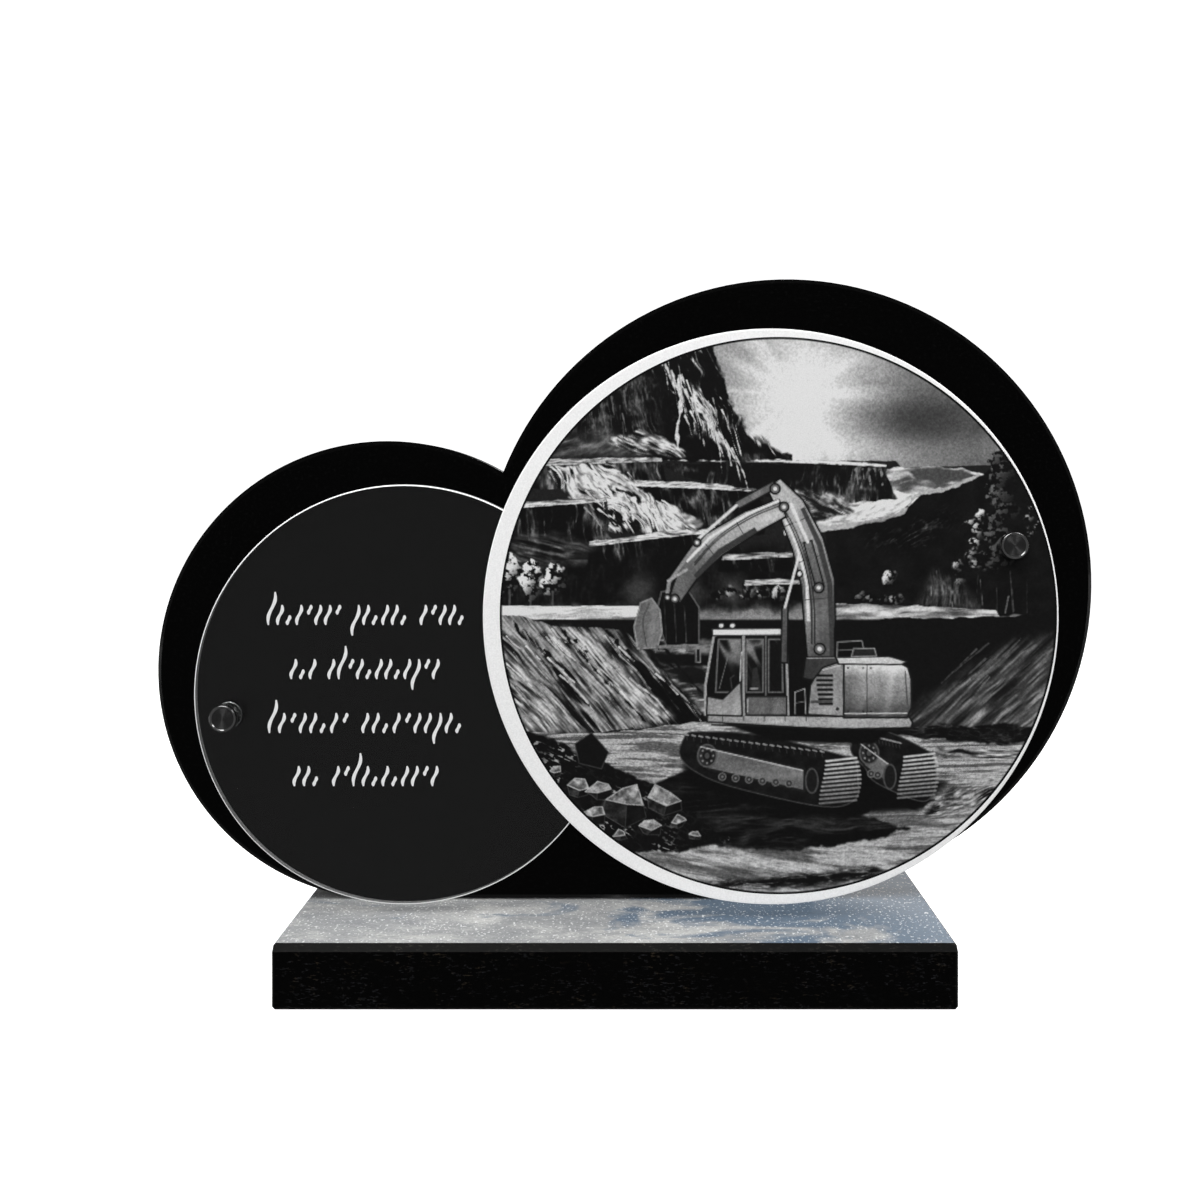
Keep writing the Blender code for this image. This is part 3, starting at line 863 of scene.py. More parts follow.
def paint_left_trees(p):
    """Three small lit trees and low growth along the bank."""
    trees = [(-0.965, 0.15, 0.085, 0.15), (-0.89, 0.125, 0.085, 0.14), (-0.81, 0.13, 0.07, 0.11)]
    for k, (x, y, w, h) in enumerate(trees):
        foliage(p, x, y, w, h, 201 + 5 * k, 0.92)
        p.stroke([(x, y - h * 0.4), (x, 0.03)], 0.008, 0.3, fray=0.003)
    for k in range(5):
        foliage(p, -0.055 * k, 0.075 + 0.012 * (k % 2), 0.042, 0.045, 221 + 4 * k, 0.62)
    for k in range(4):
        foliage(p, 0.28 + 0.05 * k, 0.065, 0.05, 0.03, 241 + 4 * k, 0.55)


def paint_middle(p):
    """The pale road across the quarry floor, and the pit's two slopes."""
    p.fill(
        [(-1.1, 0.035), (-0.4, 0.035), (-0.38, 0.0), (-0.62, -0.012), (-1.1, -0.015)],
        streaks(1, 14, 8, 241, 0.45, 0.95, (0.2, 0.5)), rough=0.004,
    )
    p.fill(
        [(0.18, 0.045), (0.5, 0.035), (0.78, 0.02), (0.8, -0.015), (0.34, -0.015), (0.18, -0.02)],
        streaks(1, 14, 8, 245, 0.12, 0.72, (0.36, 0.6)), rough=0.006,
    )
    p.fill([(-1.1, -0.015), (1.1, -0.015), (1.1, -0.44), (-1.1, -0.44)], 0.05, soft=0.004)
    pit = [(-0.48, -0.075), (-0.22, -0.085), (-0.1, -0.09), (-0.1, -0.38), (-0.24, -0.38), (-0.38, -0.24)]
    p.fill(pit, streaks(2, 14, 4, 261, 0.08, 0.58, (0.36, 0.66)), soft=0.01, rough=0.01)
    p.fill(
        [(-0.46, -0.135), (-0.22, -0.145), (-0.1, -0.16), (-0.1, -0.19), (-0.4, -0.175)], 0.05,
        soft=0.006, rough=0.01,
    )
    p.fill(
        [(-0.36, -0.215), (-0.22, -0.205), (-0.1, -0.215), (-0.1, -0.25), (-0.32, -0.245)], 0.07,
        soft=0.006, rough=0.012,
    )
    slope = [
        (-1.1, 0.0), (-0.92, 0.0), (-0.82, -0.035), (-0.56, -0.05), (-0.46, -0.14), (-0.37, -0.25),
        (-0.27, -0.355), (-0.36, -0.39), (-0.66, -0.42), (-0.86, -0.425), (-1.1, -0.34),
    ]
    p.fill(slope, streaks(-50, 20, 8, 251, 0.03, 0.58, (0.46, 0.62), 0.018), rough=0.008, seed=21)
    p.fill(
        [(-1.1, -0.06), (-0.98, -0.12), (-0.8, -0.26), (-0.68, -0.42), (-1.1, -0.44)],
        streaks(-46, 21, 8, 257, 0.05, 0.66, (0.4, 0.6), 0.018), soft=0.03, rough=0.02,
    )
    p.fill(
        [(-0.8, -0.04), (-0.7, -0.05), (-0.38, -0.37), (-0.48, -0.4)],
        streaks(-48, 21, 8, 259, 0.05, 0.74, (0.42, 0.6), 0.018), soft=0.02, rough=0.02,
    )
    for k in range(15):
        x = -0.95 + 0.037 * k
        y = -0.02 - 0.035 * ((k * 5) % 4)
        run = 0.09 + 0.045 * ((k * 7) % 5)
        kink = 0.04 * (((k * 3) % 5) - 2) / 2
        p.stroke(
            [(x, y), (x + run * 0.4 + kink * 0.4, y - run * 0.5), (x + run * 0.85, y - run)],
            (0.01, 0.002), 0.05, fray=0.008, seed=230 + k,
        )
    creases(p, 46, (-1.02, -0.58), (-0.04, -0.27), -50, 0.19, (0.4, 0.8), 631, 0.95)
    p.fill(
        [(0.36, -0.012), (0.8, -0.004), (1.1, 0.01), (1.1, -0.47), (0.46, -0.4), (0.44, -0.16)], 0.05,
        rough=0.008,
    )
    gullies = [
        (0.46, -0.36), (0.62, -0.24), (0.8, -0.12), (1.1, -0.03), (1.1, -0.42), (0.72, -0.42),
        (0.48, -0.4),
    ]
    p.fill(gullies, streaks(42, 15, 8, 265, 0.07, 0.46, (0.26, 0.6), 0.02), soft=0.035, rough=0.02, seed=23)
    creases(p, 18, (0.98, 0.74), (-0.08, -0.24), 221, 0.16, (0.18, 0.4), 641, -0.8)


def paint_ground(p):
    """The pale, wheel-worn floor with its dark hollows."""

    def floor(u, v):
        # Distance over level ground, so that the streaks are finer where it is farther away.
        away = 1.0 / np.clip(0.02 - v, 0.3, 2.0)
        bent = away + 0.05 * np.sin(u * 3.4 + 0.6) + 0.05 * u
        ruts = layered(u * away * 3.2, bent * 30, 271, 5)
        fine = ridged(u * away * 16, bent * 95, 277, 4)
        speck = noise(u * away * 60, bent * 260, 279)
        light = 0.36 + 0.26 * ease(0.34, 0.58, ruts)
        return light * (0.62 + 0.4 * fine + 0.22 * speck)

    p.fill(
        [
            (-1.1, -0.42), (-0.6, -0.42), (-0.1, -0.36), (0.44, -0.43), (1.1, -0.46), (1.1, -1.1),
            (-1.1, -1.1),
        ],
        floor, rough=0.008, seed=25,
    )
    bank = [
        (0.44, -0.4), (0.62, -0.395), (0.8, -0.39), (1.1, -0.4), (1.1, -0.465), (0.7, -0.455),
        (0.5, -0.44),
    ]
    p.fill(bank, streaks(0, 30, 3, 281, 0.04, 0.3, (0.5, 0.8)), soft=0.006, rough=0.014, seed=26)
    p.fill(
        [(0.56, -0.47), (0.8, -0.48), (0.96, -0.5), (0.8, -0.515), (0.6, -0.51)],
        streaks(-2, 26, 7, 283, 0.06, 0.66, (0.36, 0.62)), soft=0.012, rough=0.012,
    )
    hollow = [
        (-0.44, -0.6), (-0.2, -0.52), (0.36, -0.6), (0.56, -0.66), (0.52, -0.69), (0.34, -0.69),
        (0.3, -0.72), (0.47, -0.765), (0.3, -0.81), (0.05, -0.845), (-0.2, -0.83), (-0.3, -0.8),
        (-0.4, -0.74),
    ]
    p.fill(hollow, streaks(3, 20, 6, 285, 0.03, 0.22, (0.5, 0.8)), soft=0.006, rough=0.012, seed=27)
    p.fill(
        [(0.62, -0.62), (0.76, -0.6), (0.88, -0.61), (0.8, -0.67), (0.6, -0.72), (0.5, -0.74)],
        streaks(14, 26, 5, 291, 0.03, 0.6, (0.42, 0.66)), soft=0.016, rough=0.02,
    )
    p.fill(
        [(-0.3, -0.955), (0.1, -0.93), (0.34, -0.9), (0.4, -0.93), (0.1, -0.975), (-0.2, -0.985)],
        streaks(4, 30, 6, 295, 0.04, 0.5), soft=0.014, rough=0.012,
    )


def rock(p, x, y, size, seed):
    """A broken block: a pale top and a dark front with a light edge."""

    def corner(a, b, k):
        shift = lattice(np.array([k]), np.array([seed]), 5)[0] - 0.5
        other = lattice(np.array([seed]), np.array([k]), 9)[0] - 0.5
        return x + (a + 0.34 * shift) * size, y + (b + 0.26 * other) * size

    left, right, middle = corner(-0.52, 0.06, 1), corner(0.54, 0.02, 2), corner(0.04, -0.06, 3)
    top = [left, corner(-0.18, 0.44, 4), corner(0.3, 0.4, 5), right, middle]
    near_side = [left, middle, corner(-0.02, -0.46, 6), corner(-0.46, -0.24, 7)]
    far_side = [middle, right, corner(0.46, -0.34, 8), corner(-0.02, -0.46, 6)]
    p.fill(near_side, stone(0.16, 0.16, 60, seed), line=0.3, line_width=0.0016)
    p.fill(far_side, stone(0.06, 0.06, 60, seed + 2), line=0.22, line_width=0.0016)
    p.fill(top, stone(0.46, 0.36, 50, seed + 1), line=0.62, line_width=0.0018)


def paint_rocks(p):
    """A dark heap of rubble with a few broken blocks."""
    heap = [
        (-0.96, -0.4), (-0.82, -0.44), (-0.7, -0.5), (-0.56, -0.56), (-0.42, -0.62), (-0.3, -0.72),
        (-0.17, -0.81), (-0.42, -0.85), (-0.58, -0.855), (-0.72, -0.8), (-1.0, -0.56),
    ]

    def rubble(u, v):
        along, across = turned_to(u, v, -28)
        chips = ridged(along * 30, across * 62, 301, 3)
        patches = ease(0.35, 0.65, layered(u * 12, v * 12, 305, 2))
        return 0.04 + 0.52 * ease(0.72, 0.86, chips) * (0.1 + 0.9 * patches)

    p.fill(heap, rubble, soft=0.006, rough=0.016, seed=31)
    p.fill(
        [(-0.73, -0.46), (-0.67, -0.42), (-0.61, -0.49), (-0.635, -0.55), (-0.715, -0.53)], 0.05,
        line=0.26, line_width=0.0018,
    )
    blocks = [
        (-0.72, -0.62, 0.065), (-0.64, -0.63, 0.08), (-0.55, -0.68, 0.15), (-0.41, -0.665, 0.11),
        (-0.66, -0.72, 0.08), (-0.46, -0.76, 0.06), (-0.57, -0.79, 0.045), (-0.36, -0.74, 0.05),
        (-0.8, -0.56, 0.045), (-0.3, -0.79, 0.035),
    ]
    for k, (x, y, size) in enumerate(blocks):
        rock(p, x, y, size, 311 + 7 * k)


def steel(base, seed, angle=80.0):
    """Painted plate: mostly even, with faint stains along an angle."""

    def shade(u, v):
        along, across = turned_to(u, v, angle)
        stain = layered(along * 5, across * 34, seed, 3) - 0.5
        patch = layered(u * 9, v * 9, seed + 7, 2) - 0.5
        return base + 0.16 * stain + 0.16 * patch

    return shade


def sunlit(base, lift, low, high, seed, angle=80.0):
    """Painted plate that grows lighter from one height to another."""
    return lambda u, v: steel(base, seed, angle)(u, v) + lift * ease(low, high, v)


def paint_tracks(p):
    """Two crawler tracks seen from a little behind, and the shade below them."""
    p.fill(
        [(-0.36, -0.6), (0.1, -0.72), (0.5, -0.7), (0.6, -0.6), (0.2, -0.5), (-0.3, -0.46)], 0.03,
        soft=0.02,
    )
    for (x1, y1), (x2, y2), drop, seed in (
        ((0.26, -0.425), (0.565, -0.5), 0.14, 401),
        ((-0.355, -0.435), (0.285, -0.515), 0.145, 411),
    ):
        run = x2 - x1
        belt = [
            (x1 + 0.02, y1 + 0.005), (x1 + 0.1 * run, y1 + 0.018), (x1 + 0.45 * run, y1 + 0.006),
            (x2 - 0.1 * run, y2 + 0.015), (x2 - 0.01, y2 - 0.01), (x2, y2 - 0.07), (x2 - 0.01, y2 - drop),
            (x2 - 0.2 * run, y2 - drop - 0.025), (x1 + 0.3 * run, y1 - drop - 0.035),
            (x1 + 0.05, y1 - 0.12), (x1, y1 - 0.06),
        ]
        p.fill(curve_through(belt + belt[:1], 6), stone(0.07, 0.05, 40, seed), line=0.27, line_width=0.0022)
        frame_end = min(x2 - 0.3 * run, x2 - 0.155)
        frame = [
            (x1 + 0.1 * run, y1 - 0.03), (frame_end, y2 - 0.035), (frame_end, y2 - 0.115),
            (x1 + 0.16 * run, y1 - 0.115),
        ]
        p.fill(frame, steel(0.4, seed + 2, 5), line=0.12, line_width=0.004)
        hub = (x1 + 0.1 * run + 0.035, y1 - 0.068)
        p.fill(ellipse(hub, 0.034, 0.04), stone(0.16, 0.1, 40, seed + 3), line=0.34, line_width=0.003)
        p.fill(ellipse(hub, 0.012, 0.014), 0.3, line=0.08, line_width=0.003)
        for bolt in ellipse(hub, 0.022, 0.026, 8):
            p.fill(ellipse(bolt, 0.0035, 0.004, 8), 0.52)
        for k in range(6):
            t = 0.24 + 0.075 * k
            roller = (x1 + t * run, y1 - 0.128 + t * (y2 - y1) * 0.8)
            if roller[0] < x2 - 0.19:
                p.fill(ellipse(roller, 0.013, 0.013, 14), 0.22, line=0.42, line_width=0.002)
                p.fill(ellipse(roller, 0.004, 0.004, 8), 0.46)
        p.stroke([(x1 + 0.12 * run, y1 - 0.036), (frame_end - 0.006, y2 - 0.041)], 0.004, 0.68)
        hub = (x2 - 0.165, y2 - 0.078)
        p.fill(ellipse(hub, 0.022, 0.044), 0.1, line=0.3, line_width=0.003)
        # The pads across the end that faces the viewer
        pads = 11
        for k in range(pads):
            t = (k + 0.5) / pads
            y = y2 + 0.012 - (drop + 0.022) * t
            bulge = 0.018 * math.sin(math.pi * t)
            left = x2 - 0.125 + 0.012 * math.cos(math.pi * t)
            p.stroke([(left, y - 0.012), (x2 + bulge - 0.008, y)], 0.0075, 0.76 - 0.34 * t, soft=0.003)
        for k in range(24):
            t = 0.03 + k / 25
            x = x1 + t * run
            y = y1 + 0.012 + t * (y2 - y1)
            if x < x2 - 0.13:
                p.stroke([(x, y), (x + 0.012, y - 0.004)], 0.006, 0.52, soft=0.002)
                p.stroke([(x + 0.006, y - 0.01), (x + 0.008, y - 0.022)], 0.003, 0.24, soft=0.002)


def paint_body(p):
    """The upper works: a flat deck, a louvred side and a rounded counterweight."""
    p.fill([(-0.2, -0.385), (0.42, -0.4), (0.34, -0.46), (-0.02, -0.45)], 0.035, soft=0.006)
    deck = [
        (-0.255, -0.355), (0.47, -0.365), (0.482, -0.385), (0.475, -0.402), (0.2, -0.408),
        (-0.255, -0.382),
    ]
    p.fill(deck, steel(0.56, 431, 0), line=0.1, line_width=0.003)
    house = [
        (0.105, -0.355), (0.115, -0.25), (0.15, -0.185), (0.2, -0.165), (0.235, -0.165), (0.235, -0.362),
    ]
    p.fill(house, steel(PAINTWORK - 0.04, 433), line=0.1, line_width=0.003)
    weight = [
        (0.235, -0.17), (0.43, -0.168), (0.465, -0.185), (0.477, -0.23), (0.478, -0.33), (0.462, -0.366),
        (0.235, -0.366),
    ]

    def barrel(u, v):
        gleam = 0.12 * np.exp(-(((u - 0.39) / 0.08) ** 2))
        light = gleam + 0.26 * ease(-0.23, -0.175, v) - 0.18 * ease(-0.28, -0.37, v)
        return steel(0.44, 435)(u, v) + light

    p.fill(weight, barrel, line=0.12, line_width=0.0035)
    p.fill(
        [(0.2, -0.15), (0.4, -0.147), (0.46, -0.165), (0.44, -0.176), (0.215, -0.174)], 0.72,
        line=0.16, line_width=0.0028,
    )
    p.fill(
        [(0.27, -0.118), (0.345, -0.118), (0.352, -0.146), (0.262, -0.147)], 0.16, line=0.5,
        line_width=0.0025,
    )
    for k in range(7):
        y = -0.215 - 0.017 * k
        p.stroke([(0.137 + 0.002 * k, y), (0.192, y)], 0.0085, 0.06, soft=0.003)
    p.stroke([(0.21, -0.16), (0.212, -0.095), (0.3, -0.09), (0.305, -0.115)], 0.0045, 0.5)
    p.stroke([(0.212, -0.125), (0.27, -0.122)], 0.0035, 0.42)
    p.stroke([(0.12, -0.31), (0.19, -0.308)], 0.01, 0.3)
    p.stroke([(0.455, -0.2), (0.463, -0.32)], 0.004, 0.28)
    p.stroke([(0.24, -0.352), (0.46, -0.35)], 0.004, 0.74)
    p.stroke([(0.318, -0.176), (0.318, -0.362)], 0.0025, 0.2)
    for x, y in (
        (0.25, -0.188), (0.304, -0.188), (0.332, -0.188), (0.25, -0.344), (0.304, -0.344),
        (0.332, -0.344),
    ):
        p.fill(ellipse((x, y), 0.0035, 0.0035, 8), 0.16)
    p.fill(ellipse((0.212, -0.335), 0.009, 0.009, 12), 0.2, line=0.62, line_width=0.002)
    p.stroke([(0.14, -0.2), (0.225, -0.178)], 0.003, 0.74)
    p.stroke([(0.06, -0.352), (0.06, -0.275), (0.095, -0.262), (0.098, -0.352)], 0.004, 0.58)
    p.stroke([(0.06, -0.314), (0.097, -0.308)], 0.003, 0.48)
    p.stroke([(-0.24, -0.392), (0.46, -0.412)], 0.004, 0.1)
    for k in range(5):
        x = -0.2 + 0.075 * k
        p.stroke([(x, -0.362), (x, -0.378)], 0.0025, 0.22)


def paint_cab(p):
    """A plain cab with two panes, a door and a low front window."""
    shell = [
        (-0.262, -0.355), (-0.262, -0.25), (-0.232, -0.075), (-0.205, -0.058), (0.01, -0.055),
        (0.028, -0.075), (0.035, -0.355),
    ]
    p.fill(shell, 0.055, line=0.58, line_width=0.0045)
    p.fill(
        [(-0.238, -0.048), (0.025, -0.046), (0.03, -0.07), (-0.235, -0.072)], 0.8, line=0.18,
        line_width=0.0025,
    )

    def glazing(u, v):
        gleam = ease(0.7, 0.92, ridged(u * 16 + v * 8, v * 5, 441, 2))
        return 0.06 + 0.42 * gleam * ease(-0.28, -0.1, v)

    for x1, x2, x3, x4 in (
        (-0.215, -0.135, -0.225, -0.135), (-0.115, -0.055, -0.115, -0.055),
        (-0.035, 0.012, -0.035, 0.016),
    ):
        pane = [(x1, -0.085), (x2, -0.085), (x4, -0.275), (x3, -0.275)]
        p.fill(pane, glazing, line=0.4, line_width=0.003)
    p.fill(
        [(-0.098, -0.272), (-0.092, -0.19), (-0.076, -0.184), (-0.066, -0.24), (-0.06, -0.272)], 0.2,
        soft=0.004,
    )
    p.stroke([(-0.165, -0.272), (-0.172, -0.225), (-0.16, -0.215)], 0.005, 0.24)
    p.stroke([(-0.212, -0.262), (-0.182, -0.15)], 0.003, 0.44)
    p.stroke([(-0.125, -0.075), (-0.125, -0.355)], 0.01, 0.55)
    p.stroke([(-0.045, -0.075), (-0.045, -0.355)], 0.006, 0.4)
    p.fill(
        [(-0.255, -0.29), (-0.2, -0.3), (-0.135, -0.235), (-0.13, -0.36), (-0.258, -0.357)],
        steel(0.5, 445), line=0.12, line_width=0.003,
    )
    p.fill(
        [(-0.115, -0.29), (0.03, -0.29), (0.03, -0.357), (-0.115, -0.357)], steel(0.36, 447), line=0.14,
        line_width=0.003,
    )
    p.stroke([(-0.1, -0.262), (-0.075, -0.262)], 0.005, 0.62)
    p.stroke([(-0.11, -0.3), (-0.11, -0.345)], 0.0035, 0.7)
    p.stroke([(-0.132, -0.13), (-0.138, -0.235)], 0.0035, 0.72)
    for x in (-0.205, -0.165):
        p.fill(ellipse((x, -0.036), 0.011, 0.01, 12), 0.8, line=0.14, line_width=0.0025)
    p.stroke([(-0.238, -0.104), (-0.285, -0.115), (-0.288, -0.165)], 0.004, 0.45)
    p.fill(
        [(-0.296, -0.12), (-0.28, -0.118), (-0.28, -0.168), (-0.296, -0.166)], 0.1, line=0.46,
        line_width=0.0025,
    )


def paint_arm(p):
    """Boom, stick and bucket, with their rams."""
    # Bucket and its linkage come first, behind the stick
    p.fill(
        [(-0.42, 0.085), (-0.33, 0.1), (-0.285, 0.03), (-0.285, -0.105), (-0.4, -0.115), (-0.44, 0.0)],
        0.05, line=0.36, line_width=0.003,
    )
    shell = [
        (-0.495, 0.045), (-0.455, 0.062), (-0.425, 0.02), (-0.418, -0.06), (-0.435, -0.115),
        (-0.505, -0.118), (-0.518, -0.04),
    ]
    p.fill(shell, steel(0.4, 461), line=0.52, line_width=0.003)
    p.stroke([(-0.43, -0.112), (-0.29, -0.106)], 0.01, 0.46, fray=0.003)
    p.stroke(curve_through([(-0.462, 0.046), (-0.486, -0.02), (-0.474, -0.108)]), 0.003, 0.24)
    for k in range(3):
        p.stroke(
            [(-0.41 + 0.036 * k, 0.06 - 0.012 * k), (-0.402 + 0.036 * k, -0.095)], 0.003,
            0.2 + 0.05 * k, fray=0.002,
        )
    for k in range(4):
        x = -0.49 + 0.055 * k
        p.stroke([(x, -0.112), (x - 0.006, -0.132)], (0.011, 0.004), 0.4)
    # Boom
    boom = [(0.15, -0.165), (0.148, -0.02), (0.142, 0.12), (0.105, 0.26), (0.045, 0.39), (-0.018, 0.475)]
    widths = [0.092, 0.112, 0.122, 0.118, 0.1, 0.06]
    p.band(boom, widths, sunlit(0.4, 0.24, 0.05, 0.36, 451, 95), line=0.06, line_width=0.0035)
    p.band([(x + 0.042, y - 0.004) for x, y in boom[:-1]], [w * 0.16 for w in widths[:-1]], 0.26)
    p.band([(x - 0.04, y) for x, y in boom[1:-1]], [0.012] * 4, 0.76)
    for shift, tone in ((-0.022, 0.1), (-0.012, 0.14)):
        hose = [
            (0.142 + shift, -0.1), (0.14 + shift, 0.04), (0.12 + shift, 0.17), (0.08 + shift, 0.29),
            (0.03 + shift, 0.39),
        ]
        p.stroke(curve_through(hose), 0.0045, tone)
    for x, y, lean in ((0.146, 0.06, 0.004), (0.118, 0.205, 0.016), (0.062, 0.335, 0.02)):
        p.stroke([(x - 0.05, y - lean), (x + 0.046, y + lean)], 0.0025, 0.24)
    p.fill(ellipse((0.076, 0.15), 0.01, 0.012, 12), 0.84, line=0.1, line_width=0.003)
    # The bracket that carries the boom's foot
    bracket = [
        (0.088, -0.225), (0.098, -0.15), (0.205, -0.148), (0.214, -0.168), (0.16, -0.186),
        (0.124, -0.232),
    ]
    p.fill(bracket, steel(0.24, 463), line=0.08, line_width=0.003)
    p.stroke([(0.104, -0.153), (0.2, -0.151)], 0.0035, 0.58)
    # Ram on the boom, from the house to its bend
    p.band([(0.02, -0.17), (0.024, 0.03)], [0.024, 0.022], steel(0.36, 455), line=0.08, line_width=0.003)
    p.stroke([(0.024, 0.03), (0.075, 0.22)], 0.01, 0.74)
    p.band([(0.15, 0.1), (0.105, 0.265)], [0.03, 0.03], steel(0.42, 457), line=0.1, line_width=0.003)
    p.stroke([(0.105, 0.265), (0.045, 0.4)], 0.012, 0.78)
    p.stroke([(0.085, 0.27), (0.025, 0.405)], 0.007, 0.6)
    # Stick
    stick = [(0.015, 0.385), (-0.1, 0.335), (-0.23, 0.255), (-0.318, 0.165), (-0.372, 0.055)]
    p.band(
        stick, [0.066, 0.088, 0.098, 0.082, 0.044], sunlit(0.42, 0.18, 0.1, 0.32, 453, 30), line=0.06,
        line_width=0.0035,
    )
    p.band([(x - 0.012, y + 0.028) for x, y in stick[:4]], [0.01] * 4, 0.8)
    p.band([(x + 0.02, y - 0.026) for x, y in stick[1:4]], [0.02, 0.022, 0.018], 0.24)
    for shift in (0.012, 0.021):
        hose = [
            (0.01, 0.385 + shift), (-0.1, 0.338 + shift), (-0.215, 0.262 + shift),
            (-0.3, 0.17 + shift),
        ]
        p.stroke(curve_through(hose), 0.0035, 0.12)
    p.stroke([(-0.15, 0.335), (-0.118, 0.278)], 0.0025, 0.24)
    p.stroke([(-0.262, 0.258), (-0.222, 0.205)], 0.0025, 0.24)
    # Ram above the stick
    p.band([(-0.012, 0.47), (-0.15, 0.395)], [0.028, 0.028], steel(0.44, 459), line=0.1, line_width=0.003)
    p.stroke([(-0.15, 0.395), (-0.288, 0.275)], 0.011, 0.76)
    p.stroke([(-0.3, 0.25), (-0.392, 0.12), (-0.402, 0.06)], 0.013, 0.5)
    p.stroke([(-0.33, 0.165), (-0.395, 0.125)], 0.01, 0.58)
    for x, y, size in (
        (-0.012, 0.455, 0.018), (0.02, 0.39, 0.017), (-0.372, 0.06, 0.016), (-0.292, 0.262, 0.014),
        (0.145, 0.1, 0.018), (0.148, -0.12, 0.02), (-0.398, 0.065, 0.012),
    ):
        p.fill(ellipse((x, y), size, size), 0.4, line=0.08, line_width=0.003)
        p.fill(ellipse((x, y), size * 0.4, size * 0.4), 0.78)


def paint_all(u, v):
    """The whole picture: a quarry under a low sun, with a tracked digger at work."""
    p = Picture(u, v)
    paint_sky(p)
    paint_far_land(p)
    paint_cliff(p)
    paint_terraces(p)
    paint_right_hill(p)
    paint_left_trees(p)
    paint_middle(p)
    paint_ground(p)
    paint_rocks(p)
    paint_tracks(p)
    paint_body(p)
    paint_cab(p)
    paint_arm(p)
    grain = 0.5 * noise(u * 150, v * 150, 501) + 0.5 * noise(u * 290, v * 290, 502) - 0.5
    tone = p.tone * (1.0 + 0.26 * grain) + 0.03 * grain
    # Darks grow darker and lights lighter, and a fine dark line runs around the rim
    tone = tone - CONTRAST * np.sin(2 * math.pi * tone)
    tone = tone * ease(0.995, 0.99, np.hypot(u, v))
    return np.clip(0.04 + 0.94 * tone, DARKEST, LIGHTEST)


def picture_centre():
    """The picture's middle, a little off the large disc's own."""
    return LARGE_CENTRE + Vector((PICTURE_SHIFT_X, 0.0, PICTURE_SHIFT_Z))


def make_border(material):
    """The frosted ring between the picture and the large disc's edge, widest at the left."""
    outer = LARGE_RADIUS - GLASS_ARRIS
    front = LARGE_LOW.y - LAYER_FRONT
    rings = [
        ring_points(LARGE_CENTRE, outer, front, BORDER_SEGMENTS),
        ring_points(picture_centre(), PICTURE_RADIUS, front, BORDER_SEGMENTS),
    ]
    count = BORDER_SEGMENTS
    faces = [(i, (i + 1) % count, count + (i + 1) % count, count + i) for i in range(count)]
    sheet = mesh_of("picture_border", rings[0] + rings[1], faces)
    mesh = close_layer(sheet, front, LARGE_LOW.y - LAYER_BACK)
    mesh.materials.append(material)
    border = add_piece("picture_border", mesh)
    # In the photograph nothing throws a shade on the base.
    border.visible_shadow = False


def picture_material():
    """Grey engraving on frosted glass: the tones on the points, under a fine grain."""
    n = Nodes("engraved_picture")
    tone = n.node("ShaderNodeAttribute", attribute_name="Tone")
    grain = n.noise(n.coordinates(), 1800.0, detail=2.0, roughness=0.7)
    stipple = n.ramp(grain, [(0.35, 0.88), (0.65, 1.0)])
    n.feed("Base Color", n.mix(1.0, tone.outputs["Color"], stipple, "MULTIPLY"))
    n.set(Roughness=0.6, Specular_IOR_Level=0.08)
    n.bump(grain, 0.08, 0.0001)
    return n.material


def to_light(tone):
    """The colour that shows as a tone from 0 to 1 under the studio light."""
    linear = ((tone + 0.055) / 1.055) ** 2.4
    return np.clip(linear / FRONT_LIGHT, 0.0, 0.95)


def lay_out(mesh):
    """A flat layout of a thin upright layer: its front fills the map, and its back and edges a corner."""
    spots = np.empty(len(mesh.vertices) * 3)
    mesh.vertices.foreach_get("co", spots)
    spots = spots.reshape(-1, 3)[:, (0, 2)]
    spots = (spots - spots.min(axis=0)) / (spots.max(axis=0) - spots.min(axis=0))
    corner_points = np.empty(len(mesh.loops), np.int32)
    mesh.loops.foreach_get("vertex_index", corner_points)
    layout = REST_MAP[0] + REST_MAP[1] * spots[corner_points]
    for face in mesh.polygons:
        if face.normal.y < -0.5:
            corners = slice(face.loop_start, face.loop_start + face.loop_total)
            layout[corners] = FRONT_MAP[0] + FRONT_MAP[1] * spots[corner_points[corners]]
    mesh.uv_layers.new(name="OFBake").data.foreach_set("uv", layout.ravel())


def quarter_disc(turn, cells):
    """A quarter of the unit disc as a grid of points, and the grid's faces."""
    steps = np.linspace(0.0, 1.0, cells + 1)
    a, b = np.meshgrid(steps, steps, indexing="ij")
    u = a * np.sqrt(1.0 - b * b / 2.0)
    v = b * np.sqrt(1.0 - a * a / 2.0)
    for _ in range(turn):
        u, v = -v, u
    index = np.arange((cells + 1) ** 2).reshape(cells + 1, cells + 1)
    corners = [index[:-1, :-1], index[:-1, 1:], index[1:, 1:], index[1:, :-1]]
    return u.ravel(), v.ravel(), np.stack(corners, axis=-1).reshape(-1, 4)


